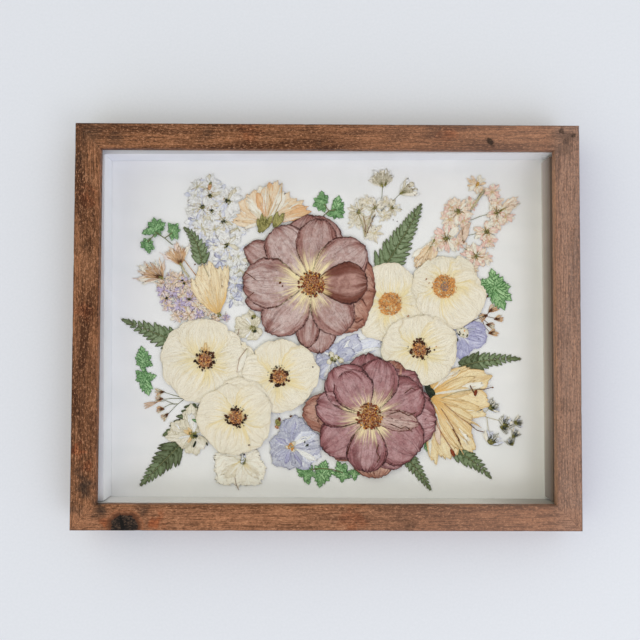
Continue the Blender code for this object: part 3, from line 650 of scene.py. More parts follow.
def rail(name, node, length, breadth, turn, seed, look):
    """A mitred rail with rounded arrises, its points carrying the run of the grain."""
    bevel = 0.9 * MM  # the radius of its arrises
    slack = 0.07 * MM  # how much each end is cut short, so that the mitres show
    back, rabbet_top = FACE - LIP, DEPTH - LIP
    profile = [(0.2 * MM, 0), (back, 0), (back, rabbet_top), (FACE - 0.1 * MM, rabbet_top)]
    for inward, start in ((FACE - bevel, 0), (bevel, pi / 2)):
        for a in (start + pi / 2 * i / 4 for i in range(5)):
            profile.append((inward + bevel * cos(a), DEPTH - bevel + bevel * sin(a)))
        if not start:  # the flat of the front, between the two arrises
            profile += [(inward + (2 * bevel - FACE) * i / 9, DEPTH) for i in range(1, 9)]
    profile += [(0, DEPTH / 2), (0, 0.2 * MM)]
    c, s = round(cos(radians(turn))), round(sin(radians(turn)))
    stations = 90  # rings of points along the rail, less one
    points, grain, arrises, faces = [], [], [], []
    run = [0.0]
    for a, b in zip(profile, profile[1:]):
        run.append(run[-1] + dist(a, b))
    for i in range(stations + 1):
        for (inward, height), across in zip(profile, run):
            end = length / 2 - inward - slack
            x = end * (2 * i / stations - 1)
            y = breadth / 2 - inward
            wear = noise.noise(Vector((x * 90, seed, inward * 30))) - 0.2
            near_edge = inward < 2 * MM and height > DEPTH - 2 * MM
            if near_edge and wear > 0:
                y -= wear * 0.35 * MM
                height -= wear * 0.2 * MM
            points.append((c * x - s * y, s * x + c * y, height))
            grain.extend((x, across, seed))
            corner = min(inward, FACE - inward) < bevel and height > DEPTH - 1.5 * bevel
            arrises.append((1.0 if inward < 0.5 * FACE else 0.3) if corner else 0.0)
    count = len(profile)
    for i in range(stations):
        for j in range(count):
            a, b = i * count + j, i * count + (j + 1) % count
            faces.append((a, a + count, b + count, b))
    faces.append(tuple(range(count)))
    faces.append(tuple(stations * count + j for j in reversed(range(count))))
    data = bpy.data.meshes.new(name)
    data.from_pydata(points, [], faces)
    carry(data, "grain", "FLOAT_VECTOR", "vector", grain)
    carry(data, "arris", "FLOAT", "value", arrises)
    data.shade_smooth()
    data.set_sharp_from_angle(angle=radians(35))
    data.materials.append(look)
    stand_in(name, data, node)


def dress(node, look):
    """Gives a carried-over node its material."""
    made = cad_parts[node]
    made.data.materials.clear()
    made.data.materials.append(look)
    return made


def make_frame():
    wood = stained_wood()
    sides = (OUTER_WIDTH, OUTER_HEIGHT)
    for i, (side, seed) in enumerate((("top", 3.1), ("left", 7.7), ("bottom", 12.4), ("right", 18.9))):
        rail("wood_" + side, "rail_" + side, sides[i % 2], sides[1 - i % 2], 90 * i, seed, wood)
    pane = dress("front_glass", glass_look())
    pane.visible_shadow = False
    pane.visible_diffuse = False
    dress("backing_board", card_look("white_board", colour(247, 247, 246), 700))
    # The liners are one white card. The top, bottom and right ones carry painted shade: each is darker and
    # tinted by how the light falls on its wall, and the bottom one is darkest towards the right rail.
    cards = {
        "liner_top": card_look("top_card_painted_shade", colour(239, 241, 245), 1500),
        "liner_bottom": card_look("bottom_card_painted_shade", colour(226, 224, 220), 1500, colour(150, 144, 136)),
        "liner_left": card_look("white_card", colour(244, 246, 249), 1500),
        "liner_right": painted_shade_card_look(),
    }
    steel = steel_look()
    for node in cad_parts:
        if node in cards:
            dress(node, cards[node])
        elif node.startswith("point"):
            dress(node, steel)


# ---------------------------------------------------------------- roses

ROSE_TONES = (None, "rose_brown", "rose_dark", "rose_pale")
# Each petal is (angle, reach, width, tone, belly, neck), the lowest first
ROSE_UPPER = (
    (150, 60, 26, 0, 0.7, 1), (88, 55, 46, 0, 0.7, 1), (-7, 51, 57, 1, 0.65, 0.8),
    (-39, 52.5, 34, 1, 0.7, 1), (-84, 55, 32, 0, 0.7, 1), (197, 54, 22, 0, 0.7, 1),
    (124, 53.5, 37, 0, 0.64, 0.9), (-95, 50, 20, 0, 0.7, 1), (82.5, 52, 34, 0, 0.66, 1.2),
    (-53, 46.5, 34, 0, 0.64, 0.9), (228, 51, 36, 0, 0.64, 0.9), (37, 52, 38, 0, 0.6, 0.8),
    (179, 54.5, 41, 0, 0.62, 1.5), (2, 44, 34, 2, 0.68, 1),
)
ROSE_LOWER = (
    (92, 49.5, 36, 0, 0.7, 1), (62, 48.5, 28, 1, 0.7, 1), (40, 49.5, 36, 0, 0.7, 1),
    (14, 50, 30, 0, 0.7, 1), (-4, 52.5, 42, 0, 0.7, 0.9), (175, 52, 31, 1, 0.7, 1),
    (-83.5, 48, 36, 1, 0.7, 1), (-58, 46, 30, 0, 0.7, 1), (228, 42, 30, 1, 0.7, 1),
    (185, 41, 12, 1, 0.7, 1), (28.5, 47, 37, 0, 0.68, 0.9), (78, 46.5, 34, 0, 0.64, 1),
    (-37, 47.5, 42, 0, 0.68, 0.9), (215.5, 44, 36, 0, 0.68, 1), (-7, 38.5, 17, 3, 0.6, 0.8),
    (-94, 43, 33, 0, 0.68, 1), (165.5, 43, 31, 0, 0.66, 1), (126, 47, 37, 0, 0.66, 1),
    (120.5, 40.5, 33, 0, 0.62, 1.3),
)
ROSES = (
    ("rose_upper", (-12.0, 33.3), 3, ROSE_UPPER, "rose_mauve", 11),
    ("rose_lower", (33.6, -70.6), 5, ROSE_LOWER, "rose_wine", 23),
)
ROSE_RISE = 0.05  # how much higher each rose petal lies than the one before it
ROSE_THREADS = 150  # how many threads with an anther stand in a rose


def make_roses():
    for name, (x, y), layer, petals, look, seed in ROSES:
        plant = Plant(name + "_petals", seed)
        low = LAYERS[layer]
        for i, (angle, reach, width, tone, belly, neck) in enumerate(petals):
            plant.blade(
                (x, y), angle, reach, width, low + ROSE_RISE * i, ROSE_TONES[tone] or look,
                petal_form(belly, neck), ruffle=0.03, ragged=0.022, fold=0.15, rows=34, columns=30,
            )
        top = low + ROSE_RISE * len(petals)
        make_rose_heart(plant, x, y, top)
        add_extras(plant, name, top)
        plant.make(name)


def make_rose_heart(plant, x, y, z):
    """A thick ring of anthers on fine threads round a low boss."""
    rng = plant.rng
    for _ in range(ROSE_THREADS):
        a = rng.uniform(0, 2 * pi)
        r = 10.5 * sqrt(rng.uniform(0.1, 1))
        c, s = cos(a), sin(a)
        path = [(x + c * k * r, y + s * k * r, z + 0.15 + 0.25 * sin(3 * k)) for k in (0.3, 0.65, 1)]
        plant.tube(path, 0.13, "stamen_gold", sides=3)
        end = path[-1]
        tip = rng.choice(("stamen_gold", "stamen_rust", "heart_brown", "stamen_rust", "bud_dark"))
        size = rng.uniform(0.4, 0.85)
        plant.grain(*end[:2], end[2] + 0.1, size, tip, angle=rng.uniform(0, 180), long=1.5, rings=1)
    plant.cluster(x, y, z + 0.2, 6.6, 120, 0.75, "heart_brown", rise=0.4)
    plant.cluster(x, y, z + 0.3, 5.6, 50, 0.55, "stamen_gold", rise=0.4)
    plant.cluster(x, y, z + 0.3, 6.8, 80, 0.6, "stamen_rust", rise=0.4)


# What single plants have besides, by look. In a petal look, they are loose petals (x, y, angle, reach,
# width), and in a speck look threads (radius, then points) or dots (x, y, radius, length over width, angle)
EXTRAS = {
    "rose_upper": (
        ("bud_dark",
            (-36.9, 34.3, 0.9, 1.3, 40), (-35, 31.6, 0.6, 1.6, 80),
            (0.3, (-56, 36.5), (-62, 41), (-65, 42.5)), (0.25, (-57, 27), (-61, 23.5)),
        ),
    ),
    "rose_lower": (
        ("bud_dark",
            (0.3, (49, -68.5), (57, -66), (64, -69.5), (70, -67)),
            (0.3, (50, -76), (58, -79.5), (62, -78), (67, -82)),
            (0.35, (40.5, -92), (39, -97.5), (41.5, -102), (39.5, -106)),
            (0.3, (61, -52), (66.5, -48), (69.5, -49.5)), (0.3, (22, -84), (18.5, -92), (16, -100)),
        ),
    ),
    "cream_flower_1": (
        ("butter", (-95.2, -22, 88, 9, 3.2), (-94.4, -22, 66, 6, 2.2), (-96, -22, 114, 6, 2.2)),
        ("cream_thin", (-61.5, -16.5, 247, 21, 4.6)),
        ("heart_brown", (0.16, (-62.5, -17.5), (-68.5, -25), (-70.3, -36))),
    ),
    "cream_flower_2": (("anther_dark", (-10.8, -31.8, 0.6, 1, 0)),),
    "cream_flower_3": (("anther_dark", (-60.3, -92.7, 0.5, 1.8, 0)),),
    "cream_flower_4": (
        ("anther_dark", (84.6, -18.1, 0.7, 1.1, 30)), ("anther_orange", (86, -15.5, 0.5, 1.1, 30)),
        ("heart_brown", (64, 8.4, 0.6, 1.6, 20)),
    ),
    "cream_flower_6": (
        ("heart_brown", (78.4, 37.6, 0.5, 1.6, 60), (80.6, 34.6, 0.45, 1.4, 30), (83, 31, 0.5, 1.4, 80)),
    ),
    "cream_floret": (
        ("ice", (-66.5, -108.5, 72, 9, 3)), ("grey_tuft", (-65.2, -108.5, 92, 9, 2.4)),
        ("sepal", (-64.6, -108.5, 80, 6, 2)), ("anther_dark", (-64.2, -100.4, 0.7, 1, 0)),
        ("stalk_brown", (0.2, (-71.4, -118), (-70.5, -123), (-68.3, -128))),
    ),
    "peach_bloom": (
        ("sepal",
            (-54.5, 74, 66, 14, 4.5), (-54, 73.5, 44, 13, 4), (-55, 74.5, 30, 9, 3.5),
            (-53, 73, 84, 16, 3.5), (-51.5, 73.5, 60, 16, 4.5), (-53, 74.5, 100, 11, 3),
            (-42.5, 78, 76, 13, 4), (-42, 77.5, 50, 12, 4), (-39.5, 78.5, 90, 12, 3.5),
            (-40, 78, 64, 13, 3.5),
        ),
        ("amber", (0.2, (-47, 88), (-44, 98), (-46, 104)), (0.2, (-41, 90), (-36, 100), (-36, 110))),
    ),
    "yellow_bloom_right": (
        ("dark_green", (79.5, -48, 2.3, 2.4, 100), (83, -51, 1.8, 2, 120)),
        ("stalk_pale", (0.25, (90, -56), (104, -50.5), (118.2, -48.8))),
        ("bud_dark",
            (0.3, (118.2, -48.8), (124, -48.9), (130.2, -47.2)), (130.4, -47.4, 0.6, 1.4, 20),
            (0.45, (112.6, -46), (114.6, -49.6), (117.2, -54.2)),
        ),
        ("stamen_rust", (117, -51.5, 1.3, 2.1, 75)),
        ("heart_brown", (0.25, (92, -60), (104, -70.5), (112, -76))),
        ("bud_dark", (0.35, (112, -76), (118, -81), (123.4, -82.3))),
        ("heart_brown", (0.25, (90, -64), (99.5, -79.3), (102, -86))),
        ("bud_dark", (0.35, (99, -80), (103.4, -87.5), (105.2, -92.4)), (103.6, -88.5, 0.6, 2, 65)),
        ("heart_brown", (0.3, (83, -62), (87, -78), (93, -88), (99, -97))),
        ("stamen_rust", (98.8, -98.5, 1.5, 2.4, 115)), ("tan", (84, -66, 280, 26, 5)),
    ),
    "lavender_bloom": (
        ("dark_green",
            (104.2, 17.8, 0.6, 2.4, 85), (99, -4.9, 1.9, 1.5, 120), (102.4, -9.6, 1.1, 1.8, 120),
        ),
        ("ivory", (101.5, 0.5, -38, 13, 8)), ("anther_orange", (108.6, -3, 0.55, 1.4, 100)),
        ("stalk_green", (106, -1, 0.5, 1.4, 60)), ("dark_green", (110.6, -6.8, 0.5, 2.6, 70)),
        ("stalk_green", (107.6, -6, 0.6, 1.4, 20)),
    ),
    "blue_hydrangea": (
        ("olive", (-38, -75.4, 2.2, 1.4, 110)), ("bud_dark", (-36.8, -72.9, 1.1, 1.6, 110)),
        ("heart_brown", (-38.8, -79, 1.2, 1.6, 150)), ("lavender", (-37.6, -70, 95, 7.5, 4.5)),
        ("bud_dark", (-27.9, -70.3, 0.8, 1.6, 20)),
        ("ivory", (-27.5, -94.4, 60, 5, 3), (-27.5, -94.4, 180, 4.5, 3), (-27.5, -94.4, 300, 4.5, 3)),
        ("dark_green", (-15, -93, 0.8, 1.8, 30), (-17, -90.5, 0.5, 1.8, 80)),
    ),
    "pale_blue_bloom": (
        ("ivory",
            (4.2, -25.3, 100, 5.5, 4.5), (4.2, -25.3, 20, 5.5, 4.5), (9.4, -24.5, -50, 5, 4.5),
            (4.2, -25.3, 230, 5, 4.5),
        ),
        ("olive", (4.2, -25.3, 1.1, 1.4, 30), (9.4, -24.5, 0.9, 1.4, 80)),
        ("dark_green", (6.6, -27.4, 0.6, 1.6, 10), (2.2, -22.6, 0.5, 1.6, 60)),
    ),
    "daisy_white": (
        ("leaf", (-105.5, -73, -20, 7.5, 3.2)), ("dark_green", (-103, -92.4, 0.9, 3.2, 66)),
        ("olive", (-104, -85.6, 2.2, 1.3, 10)), ("dark_green", (-102.6, -85.9, 1.2, 1.9, -10)),
        ("butter", (-104.6, -85.3, 152, 8, 3), (-104.6, -85.3, 122, 7, 2.6), (-104.6, -85.3, 238, 7, 2.6)),
        ("dark_green", (-93.4, -92.2, 0.6, 2.6, 110)),
    ),
    "white_floret_spray": (
        ("olive", (-57.4, 7.5, 1.6, 1.3, 30)),
        ("dark_green", (-58.6, 6.5, 0.8, 1.5, 70), (-56.6, -4, 1.1, 1.5, 20)),
        ("heart_brown", (-73.9, -5.6, 0.7, 1.6, 20)), ("bud_dark", (-71.4, -6.9, 0.6, 1.4, 70)),
        ("heart_brown", (0.16, (-78, -3), (-75.5, -8), (-70, -7.5), (-69, -2))),
    ),
    "yellow_bloom_left": (
        ("bud_dark", (-104, 48.5, 0.6, 1.4, 30)),
        ("stalk_pale", (0.3, (-98.5, 49.5), (-95.5, 44.5), (-93, 39))),
    ),
    "white_larkspur": (("bud_tan", (-93, 110.6, 1.6, 2, 80)), ("olive", (-92.6, 113, 0.9, 1.8, 60))),
    "purple_spray": (
        ("dark_green", (-113.8, 36, 0.8, 1.3, 0), (-126.2, 22, 0.8, 1.3, 50)),
        ("stalk_pale", (0.75, (-115.2, 49.3), (-112.5, 44), (-108.6, 38.2))),
        ("bud_tan", (0.4, (-112.7, 52.4), (-108, 46), (-103.2, 39.8))),
    ),
    "cream_sprig": (
        ("stalk_pale",
            (0.5, (30.1, 71.1), (28.5, 80), (24.5, 90)), (0.5, (30.3, 71.1), (32.5, 81), (36, 92)),
        ),
        ("stalk_brown",
            (0.25, (30.2, 71.1), (30.4, 80), (28.6, 88)), (0.25, (30.2, 71.1), (33.8, 79.5), (38, 89)),
        ),
        ("bud_dark",
            (65, 111.4, 0.4, 1.2, 0), (67.9, 108.6, 0.4, 1.2, 0), (69.6, 104.5, 0.4, 1.2, 0),
            (52.4, 84.7, 0.4, 1.2, 0), (55.5, 83.5, 0.4, 1.2, 0), (38.2, 76.8, 0.4, 1.2, 0),
        ),
    ),
    "pink_spray": (
        ("stalk_pale", (1, (124.4, 108.4), (119.5, 101), (114.2, 93))),
        ("stalk_brown", (0.3, (125, 108.4), (120.1, 101), (114.8, 93))),
        ("amber", (119.4, 113.4, 1.2, 1.8, 60)), ("tan", (108, 66, 78, 15, 5)),
    ),
}


def add_extras(plant, name, height):
    for look, *shapes in EXTRAS.get(name, ()):
        for shape in shapes:
            if look in PETAL_LOOKS:
                x, y, angle, reach, width = shape
                high = height + 0.08
                plant.blade((x, y), angle, reach, width, high, look, slender, ruffle=0.12, ragged=0.05)
            elif isinstance(shape[1], tuple):
                radius, *path = shape
                plant.tube([(x, y, height + 0.12) for x, y in path], radius, look)
            else:
                x, y, radius, long, angle = shape
                flat = 0.6 if radius < 1.5 else 0.14
                plant.grain(x, y, height + 0.1, radius, look, flat=flat, angle=angle, long=long, sides=9)


# ---------------------------------------------------------------- cream flowers

# Name, layer, centre, whether its anthers are dark, and its petals as (angle, reach)
CREAM_FLOWERS = (
    ("cream_flower_1", 3, (-95.4, -27), True, (
        (-22, 39), (135, 34.5), (300, 30), (20, 31.5), (180, 34.5), (90, 32.5), (235, 33.5),
    )),
    ("cream_flower_2", 4, (-37.1, -39.5), True, (
        (176, 29), (-115, 28.5), (90, 29.5), (-45, 28.5), (18, 31.5),
    )),
    ("cream_flower_3", 5, (-70.9, -71.2), True, (
        (62, 32), (100, 27), (-42, 29), (175, 30.5), (-110, 29.5), (30, 29),
    )),
    ("cream_flower_4", 4, (72.9, -17.7), True, ((165, 29.5), (90, 27.5), (-55, 29), (240, 29), (20, 30.5))),
    ("cream_flower_5", 2, (49.9, 17.9), False, ((10, 31), (150, 24), (90, 32), (225, 31), (-60, 28))),
    ("cream_flower_6", 3, (92.8, 31.9), False, ((95, 24), (20, 28.5), (165, 26), (250, 28), (-45, 35.5))),
)
# The lumps in the middle, by whether the anthers are dark: spread, count, size, look and rise
CREAM_HEARTS = {
    True: (
        (5.2, 80, 0.8, "heart_brown", 0.4), (5, 50, 0.6, "anther_orange", 0.6),
        (4.8, 34, 0.55, "stamen_rust", 0.7),
    ),
    False: ((9, 330, 0.62, "anther_orange", 0.4), (8.6, 90, 0.5, "heart_brown", 0.4)),
}
CREAM_RISE = 0.045  # how much higher each petal lies than the one before it
CREAM_BREADTH = 1.26  # a petal's width over its reach
CREAM_FORM = petal_form(0.6, 0.8)
ANTHER_CLUMPS, CREAM_THREADS = 34, 46  # in each flower with dark anthers


def make_cream_flowers():
    for seed, (name, layer, (x, y), dark, petals) in enumerate(CREAM_FLOWERS, 31):
        plant = Plant(name + "_petals", seed)
        low = LAYERS[layer]
        for i, (angle, reach) in enumerate(petals):
            plant.blade(
                (x, y), angle, reach, CREAM_BREADTH * reach, low + CREAM_RISE * i, "cream", CREAM_FORM,
                ruffle=0.09, ragged=0.026, fold=0.14, rows=28, columns=28,
            )
        z = low + CREAM_RISE * len(petals) + 0.1
        rng = plant.rng
        for spread, count, size, look, rise in CREAM_HEARTS[dark]:
            plant.cluster(x, y, z, spread, count, size, look, rise=rise)
        if dark:
            for _ in range(ANTHER_CLUMPS):
                a, r = rng.uniform(0, 2 * pi), rng.uniform(5.2, 8.2)
                tone = rng.choice(("anther_dark", "anther_dark", "bud_dark"))
                plant.cluster(*away(x, y, r, a, z), 0.9, 5, 0.62, tone)
            plant.cluster(x, y, z, 9.4, 16, 0.4, "anther_dark", hollow=0.8)
            for k in range(CREAM_THREADS):
                a = 2 * pi * k / CREAM_THREADS + rng.uniform(-0.05, 0.05)
                plant.tube([away(x, y, r, a, z) for r in (3, 7)], 0.13, "stamen_gold", sides=3)
        else:
            plant.cluster(x, y, z, 10.0, 50, 0.4, "stamen_gold", hollow=0.8)
            if name == "cream_flower_6":
                plant.cluster(x, y, z + 0.2, 3.4, 40, 0.6, "heart_grey", rise=0.4)
        add_extras(plant, name, z)
        plant.make(name)


# ---------------------------------------------------------------- blooms

# The looks that a flower's petals mix, by the look that it is given
MIXES = {
    "white": ("white", "white", "white", "white", "white", "ice", "ivory"),
    "ice": ("ice", "ice", "white", "white", "pale_blue"),
    "ivory": ("ivory", "ivory", "white", "cream_thin"),
    "lilac": ("lilac", "lilac", "pink", "pink", "violet", "cream_thin"),
    "violet": ("violet", "violet", "lilac"), "tan": ("tan", "pink", "lilac", "cream_thin"),
    "pink": ("pink", "pink", "cream_thin", "cream_thin", "rosy"),
    "rosy": ("rosy", "rosy", "pink", "pink", "cream_thin"),
    "peach": ("peach", "peach", "pink", "cream_thin", "cream_thin"), "coral": ("coral", "peach", "pink"),
    "butter": ("butter", "butter", "butter", "cream_thin"),
    "straw": ("straw", "straw", "straw", "cream_thin"),
    "hydrangea": ("hydrangea", "pale_blue", "lavender", "pale_blue"),
    "pale_blue": ("pale_blue", "hydrangea", "ice", "white"),
    "lavender": ("lavender", "lavender", "hydrangea"), "cream_thin": ("cream_thin", "cream_thin", "cream"),
}
# In the florets of these looks, the colour of the stray threads and how many a millimetre of radius
FLECKS = {
    "white": ("stalk_brown", 0.5), "ice": ("stalk_brown", 0.5), "lilac": ("bud_dark", 1.2),
    "violet": ("bud_dark", 1.2), "tan": ("bud_dark", 0.5),
}
# Layer, foot, look, and petals as (angle, reach, width) with their own look where it differs
BLOOMS = {
    "peach_bloom": (1, (-48.4, 82.6), "peach", (
        (180, 26, 9), (168, 24, 8), (152, 23, 10), (52, 29, 10), (38, 30, 9), (28, 33, 9),
        (24, 34, 8, "coral"), (16, 35.5, 10, "coral"), (140, 26, 11), (125, 26, 12), (68, 31, 10),
        (58, 27, 9, "cream_thin"), (112, 27, 12), (98, 29, 10, "cream_thin"), (84, 32, 8, "coral"),
        (76, 33, 9), (90, 28, 8), (105, 24, 7, "coral"), (132, 20, 6, "cream_thin"),
    )),
    "yellow_bloom_left": (2, (-85, 8.8), "straw", (
        (125, 34.5, 13), (83, 39, 8), (111.5, 43, 13), (92.5, 37, 15), (101.5, 43, 15), (117, 36, 9),
        (96, 40, 7),
    )),
    "yellow_bloom_right": (2, (80.2, -54), "butter", (
        (51, 28, 14), (38, 36, 13), (26, 44, 14), (-86.5, 53, 11), (-79, 49, 12), (-19, 45.5, 20),
        (15.5, 51.5, 21), (-38, 44, 15), (-68, 52.5, 17), (-3, 48, 21), (-52, 53, 24), (-60, 46, 8),
        (-30, 38, 9), (-44, 47, 7), (6, 36, 8), (-13, 42, 7), (22, 38, 7),
    )),
    "lavender_bloom": (1, (104.8, -4.7), "lavender", (
        (112, 14, 9), (90, 24.5, 15), (78, 19, 13), (-116, 15.5, 10), (-62, 17, 14), (-84, 20, 17),
        (14, 21, 13), (-12, 22.5, 18),
    )),
    "blue_hydrangea": (1, (-27.5, -94.4), "hydrangea", (
        (100, 22, 15), (76, 24.5, 17), (50, 22, 13), (-47, 21.5, 17, "pale_blue"), (-20, 24, 14, "ice"),
        (8, 25, 20, "pale_blue"), (28, 21, 12, "ice"), (135, 15, 12), (165, 17, 14), (200, 17, 13),
        (228, 19, 14), (265, 17.5, 14), (290, 17, 10),
    )),
    "pale_blue_bloom": (0, (5.7, -26.2), "pale_blue", (
        (20, 39.5, 13, "ice"), (10, 27, 12, "ice"), (40, 27, 17), (52, 20, 12), (100, 13, 11),
        (130, 13, 10), (165, 14, 11), (200, 16, 12), (235, 18, 12), (-95, 15, 12), (-60, 14, 11),
        (25, 17, 11),
    )),
    "daisy_white": (1, (-104.6, -85.3), "ivory", (
        (-75, 16, 8), (-50, 14, 7, "cream_thin"), (-32, 13.5, 6), (62, 13, 9), (256, 15, 9), (232, 13, 8),
        (210, 14, 9), (180, 21, 11), (165, 18, 8), (151, 19, 11), (110, 20, 8), (94, 23.5, 12), (78, 18, 8),
        (130, 15, 9),
    )),
    "cream_floret": (1, (-65.4, -105.7), "cream_thin", (
        (171, 22, 15), (150, 15, 11), (38, 14.5, 13), (10, 14, 12), (-100, 19.5, 15), (-75, 19, 14),
        (-48, 21.5, 18), (-25, 19, 14), (195, 23, 16), (217, 25.5, 19), (240, 20, 14),
    )),
    "white_floret_spray": (1, (-58.3, -1.5), "ivory", (
        (100, 14, 8), (320, 9, 8), (290, 10, 7), (250, 10, 8), (222, 11, 7), (200, 15, 9), (175, 14, 8),
        (150, 15, 9), (125, 13, 8), (60, 10, 7), (80, 11, 6),
    )),
}
# What each bloom has at its heart: look, count, spread and size of the lumps
HEARTS = {
    "peach_bloom": ("olive", 20, 3.5, 0.7), "yellow_bloom_left": ("olive", 10, 2, 0.7),
    "yellow_bloom_right": ("dark_green", 16, 2.6, 0.8), "lavender_bloom": ("dark_green", 8, 1.6, 0.5),
    "blue_hydrangea": ("stamen_gold", 22, 2.8, 0.6), "pale_blue_bloom": ("olive", 14, 2.6, 0.5),
    "daisy_white": ("olive", 22, 3.2, 0.6), "cream_floret": ("stalk_green", 12, 2.2, 0.5),
    "white_floret_spray": ("olive", 16, 2.8, 0.6),
}
SERRATED = ("daisy_white", "white_floret_spray")  # these have saw-edged petals
BLOOM_RISE = 0.03  # how much higher each of their petals lies than the one before it
# How ragged the edges of some are
RAGGED = {"cream_floret": 0.13, "blue_hydrangea": 0.08, "pale_blue_bloom": 0.08}


def make_blooms():
    for seed, (name, (layer, foot, look, petals)) in enumerate(BLOOMS.items(), 51):
        plant = Plant(name + "_petals", seed)
        low = LAYERS[layer]
        saw = 7 if name in SERRATED else 0
        for i, (angle, reach, width, *own) in enumerate(petals):
            plant.blade(
                foot, angle, reach, width, low + BLOOM_RISE * i, own[0] if own else look,
                rounded if width > 0.4 * reach else slender, bend=plant.rng.uniform(-0.05, 0.05),
                ruffle=0.1, ragged=RAGGED.get(name, 0.045), fold=0.1, rows=22, columns=14, saw=saw,
                teeth=0.12,
            )
            for side in (-1, 1):
                plant.blade(
                    foot, angle + side * plant.rng.uniform(4, 13), reach * plant.rng.uniform(0.55, 0.98),
                    width * plant.rng.uniform(0.18, 0.4), low + BLOOM_RISE * i + 0.05,
                    plant.rng.choice(MIXES[own[0] if own else look]), slender,
                    bend=plant.rng.uniform(-0.15, 0.15), ruffle=0.2, ragged=0.1, fold=0.2, rows=18,
                    columns=6,
                )
        heart, count, spread, size = HEARTS[name]
        top = low + BLOOM_RISE * len(petals) + 0.1
        plant.cluster(*foot, top, spread, count, size, heart)
        add_extras(plant, name, top)
        plant.make(name)


# ---------------------------------------------------------------- ferns and leaves

# Tip, a point on the midrib half way, foot, longest pinna, pairs of pinnae, layer
FERNS = (
    ((-162.1, 5.4), (-139.2, -4), (-117, -12.5), 13, 10, 0),
    ((-145.6, -125.2), (-130.2, -108.9), (-113.9, -92.5), 14.3, 11, 0),
    ((-113.6, 78.1), (-103.5, 66.5), (-98.5, 48), 9.6, 9, 1),
    ((75, 98.1), (60.5, 71.5), (41.5, 41), 16.5, 15, 1),
    ((153.8, -25.1), (128.9, -25.9), (104, -31.5), 11.6, 11, 0),
    ((129.7, -119.2), (116, -106), (99, -96.5), 10, 9, 0),
    ((82.1, -128.2), (73.5, -115.5), (62.5, -101), 8, 9, 0),
    ((-128.5, -86.5), (-114.5, -75), (-100, -61.5), 9, 7, 0),
)
PINNA_LEAN = 52.0  # the angle between a pinna and the midrib
DARK_FOOT = {2: 0.5, 5: 0.3, 8: 0.6}  # how far along some of them the green has gone


def make_ferns():
    """Fern tips: pairs of saw-edged pinnae that shorten along a bent midrib."""
    for number, (tip, bend, foot, pinna, pairs, layer) in enumerate(FERNS, 1):
        plant = Plant(f"fern_{number}_frond", 70 + number)
        low = LAYERS[layer]

        def midrib(t):
            return tuple(
                (1 - t) ** 2 * f + 2 * t * (1 - t) * (2 * b - (f + e) / 2) + t * t * e
                for f, b, e in zip(foot, bend, tip)
            )

        path = [(*midrib(k / 12), low + 0.12 + 0.015 * k) for k in range(13)]
        plant.tube(path, 0.36, "stalk_green", taper=0.5)
        for i in range(pairs):
            t = (i + 0.5) / pairs
            at, ahead = midrib(t), midrib(t + 0.5 / pairs)
            step = 2 * dist(at, ahead)
            along = degrees(atan2(ahead[1] - at[1], ahead[0] - at[0]))
            length = 1.06 * pinna * (1 - t) ** 0.8 + 0.5
            look = "fern_dark" if t < DARK_FOOT.get(number, 0.0) else "fern"
            for side in (-1, 1):
                lean = along + side * (PINNA_LEAN + plant.rng.uniform(-4, 4))
                plant.blade(
                    at, lean, length * plant.rng.uniform(0.9, 1.06), min(step * 1.65, 0.55 * length + 1.5),
                    low + 0.05 + 0.04 * (i % 3), look, pinna_form, bend=-side * 0.1, ragged=0.03, rows=20,
                    columns=6, saw=6, teeth=0.16,
                )
        at, width = midrib(0.78), 0.16 * pinna + 2.2
        along = degrees(atan2(tip[1] - at[1], tip[0] - at[0]))
        plant.blade(at, along, dist(at, tip), width, low + 0.17, "fern", pointed, rows=24, saw=5)
        plant.make(f"fern_{number}")


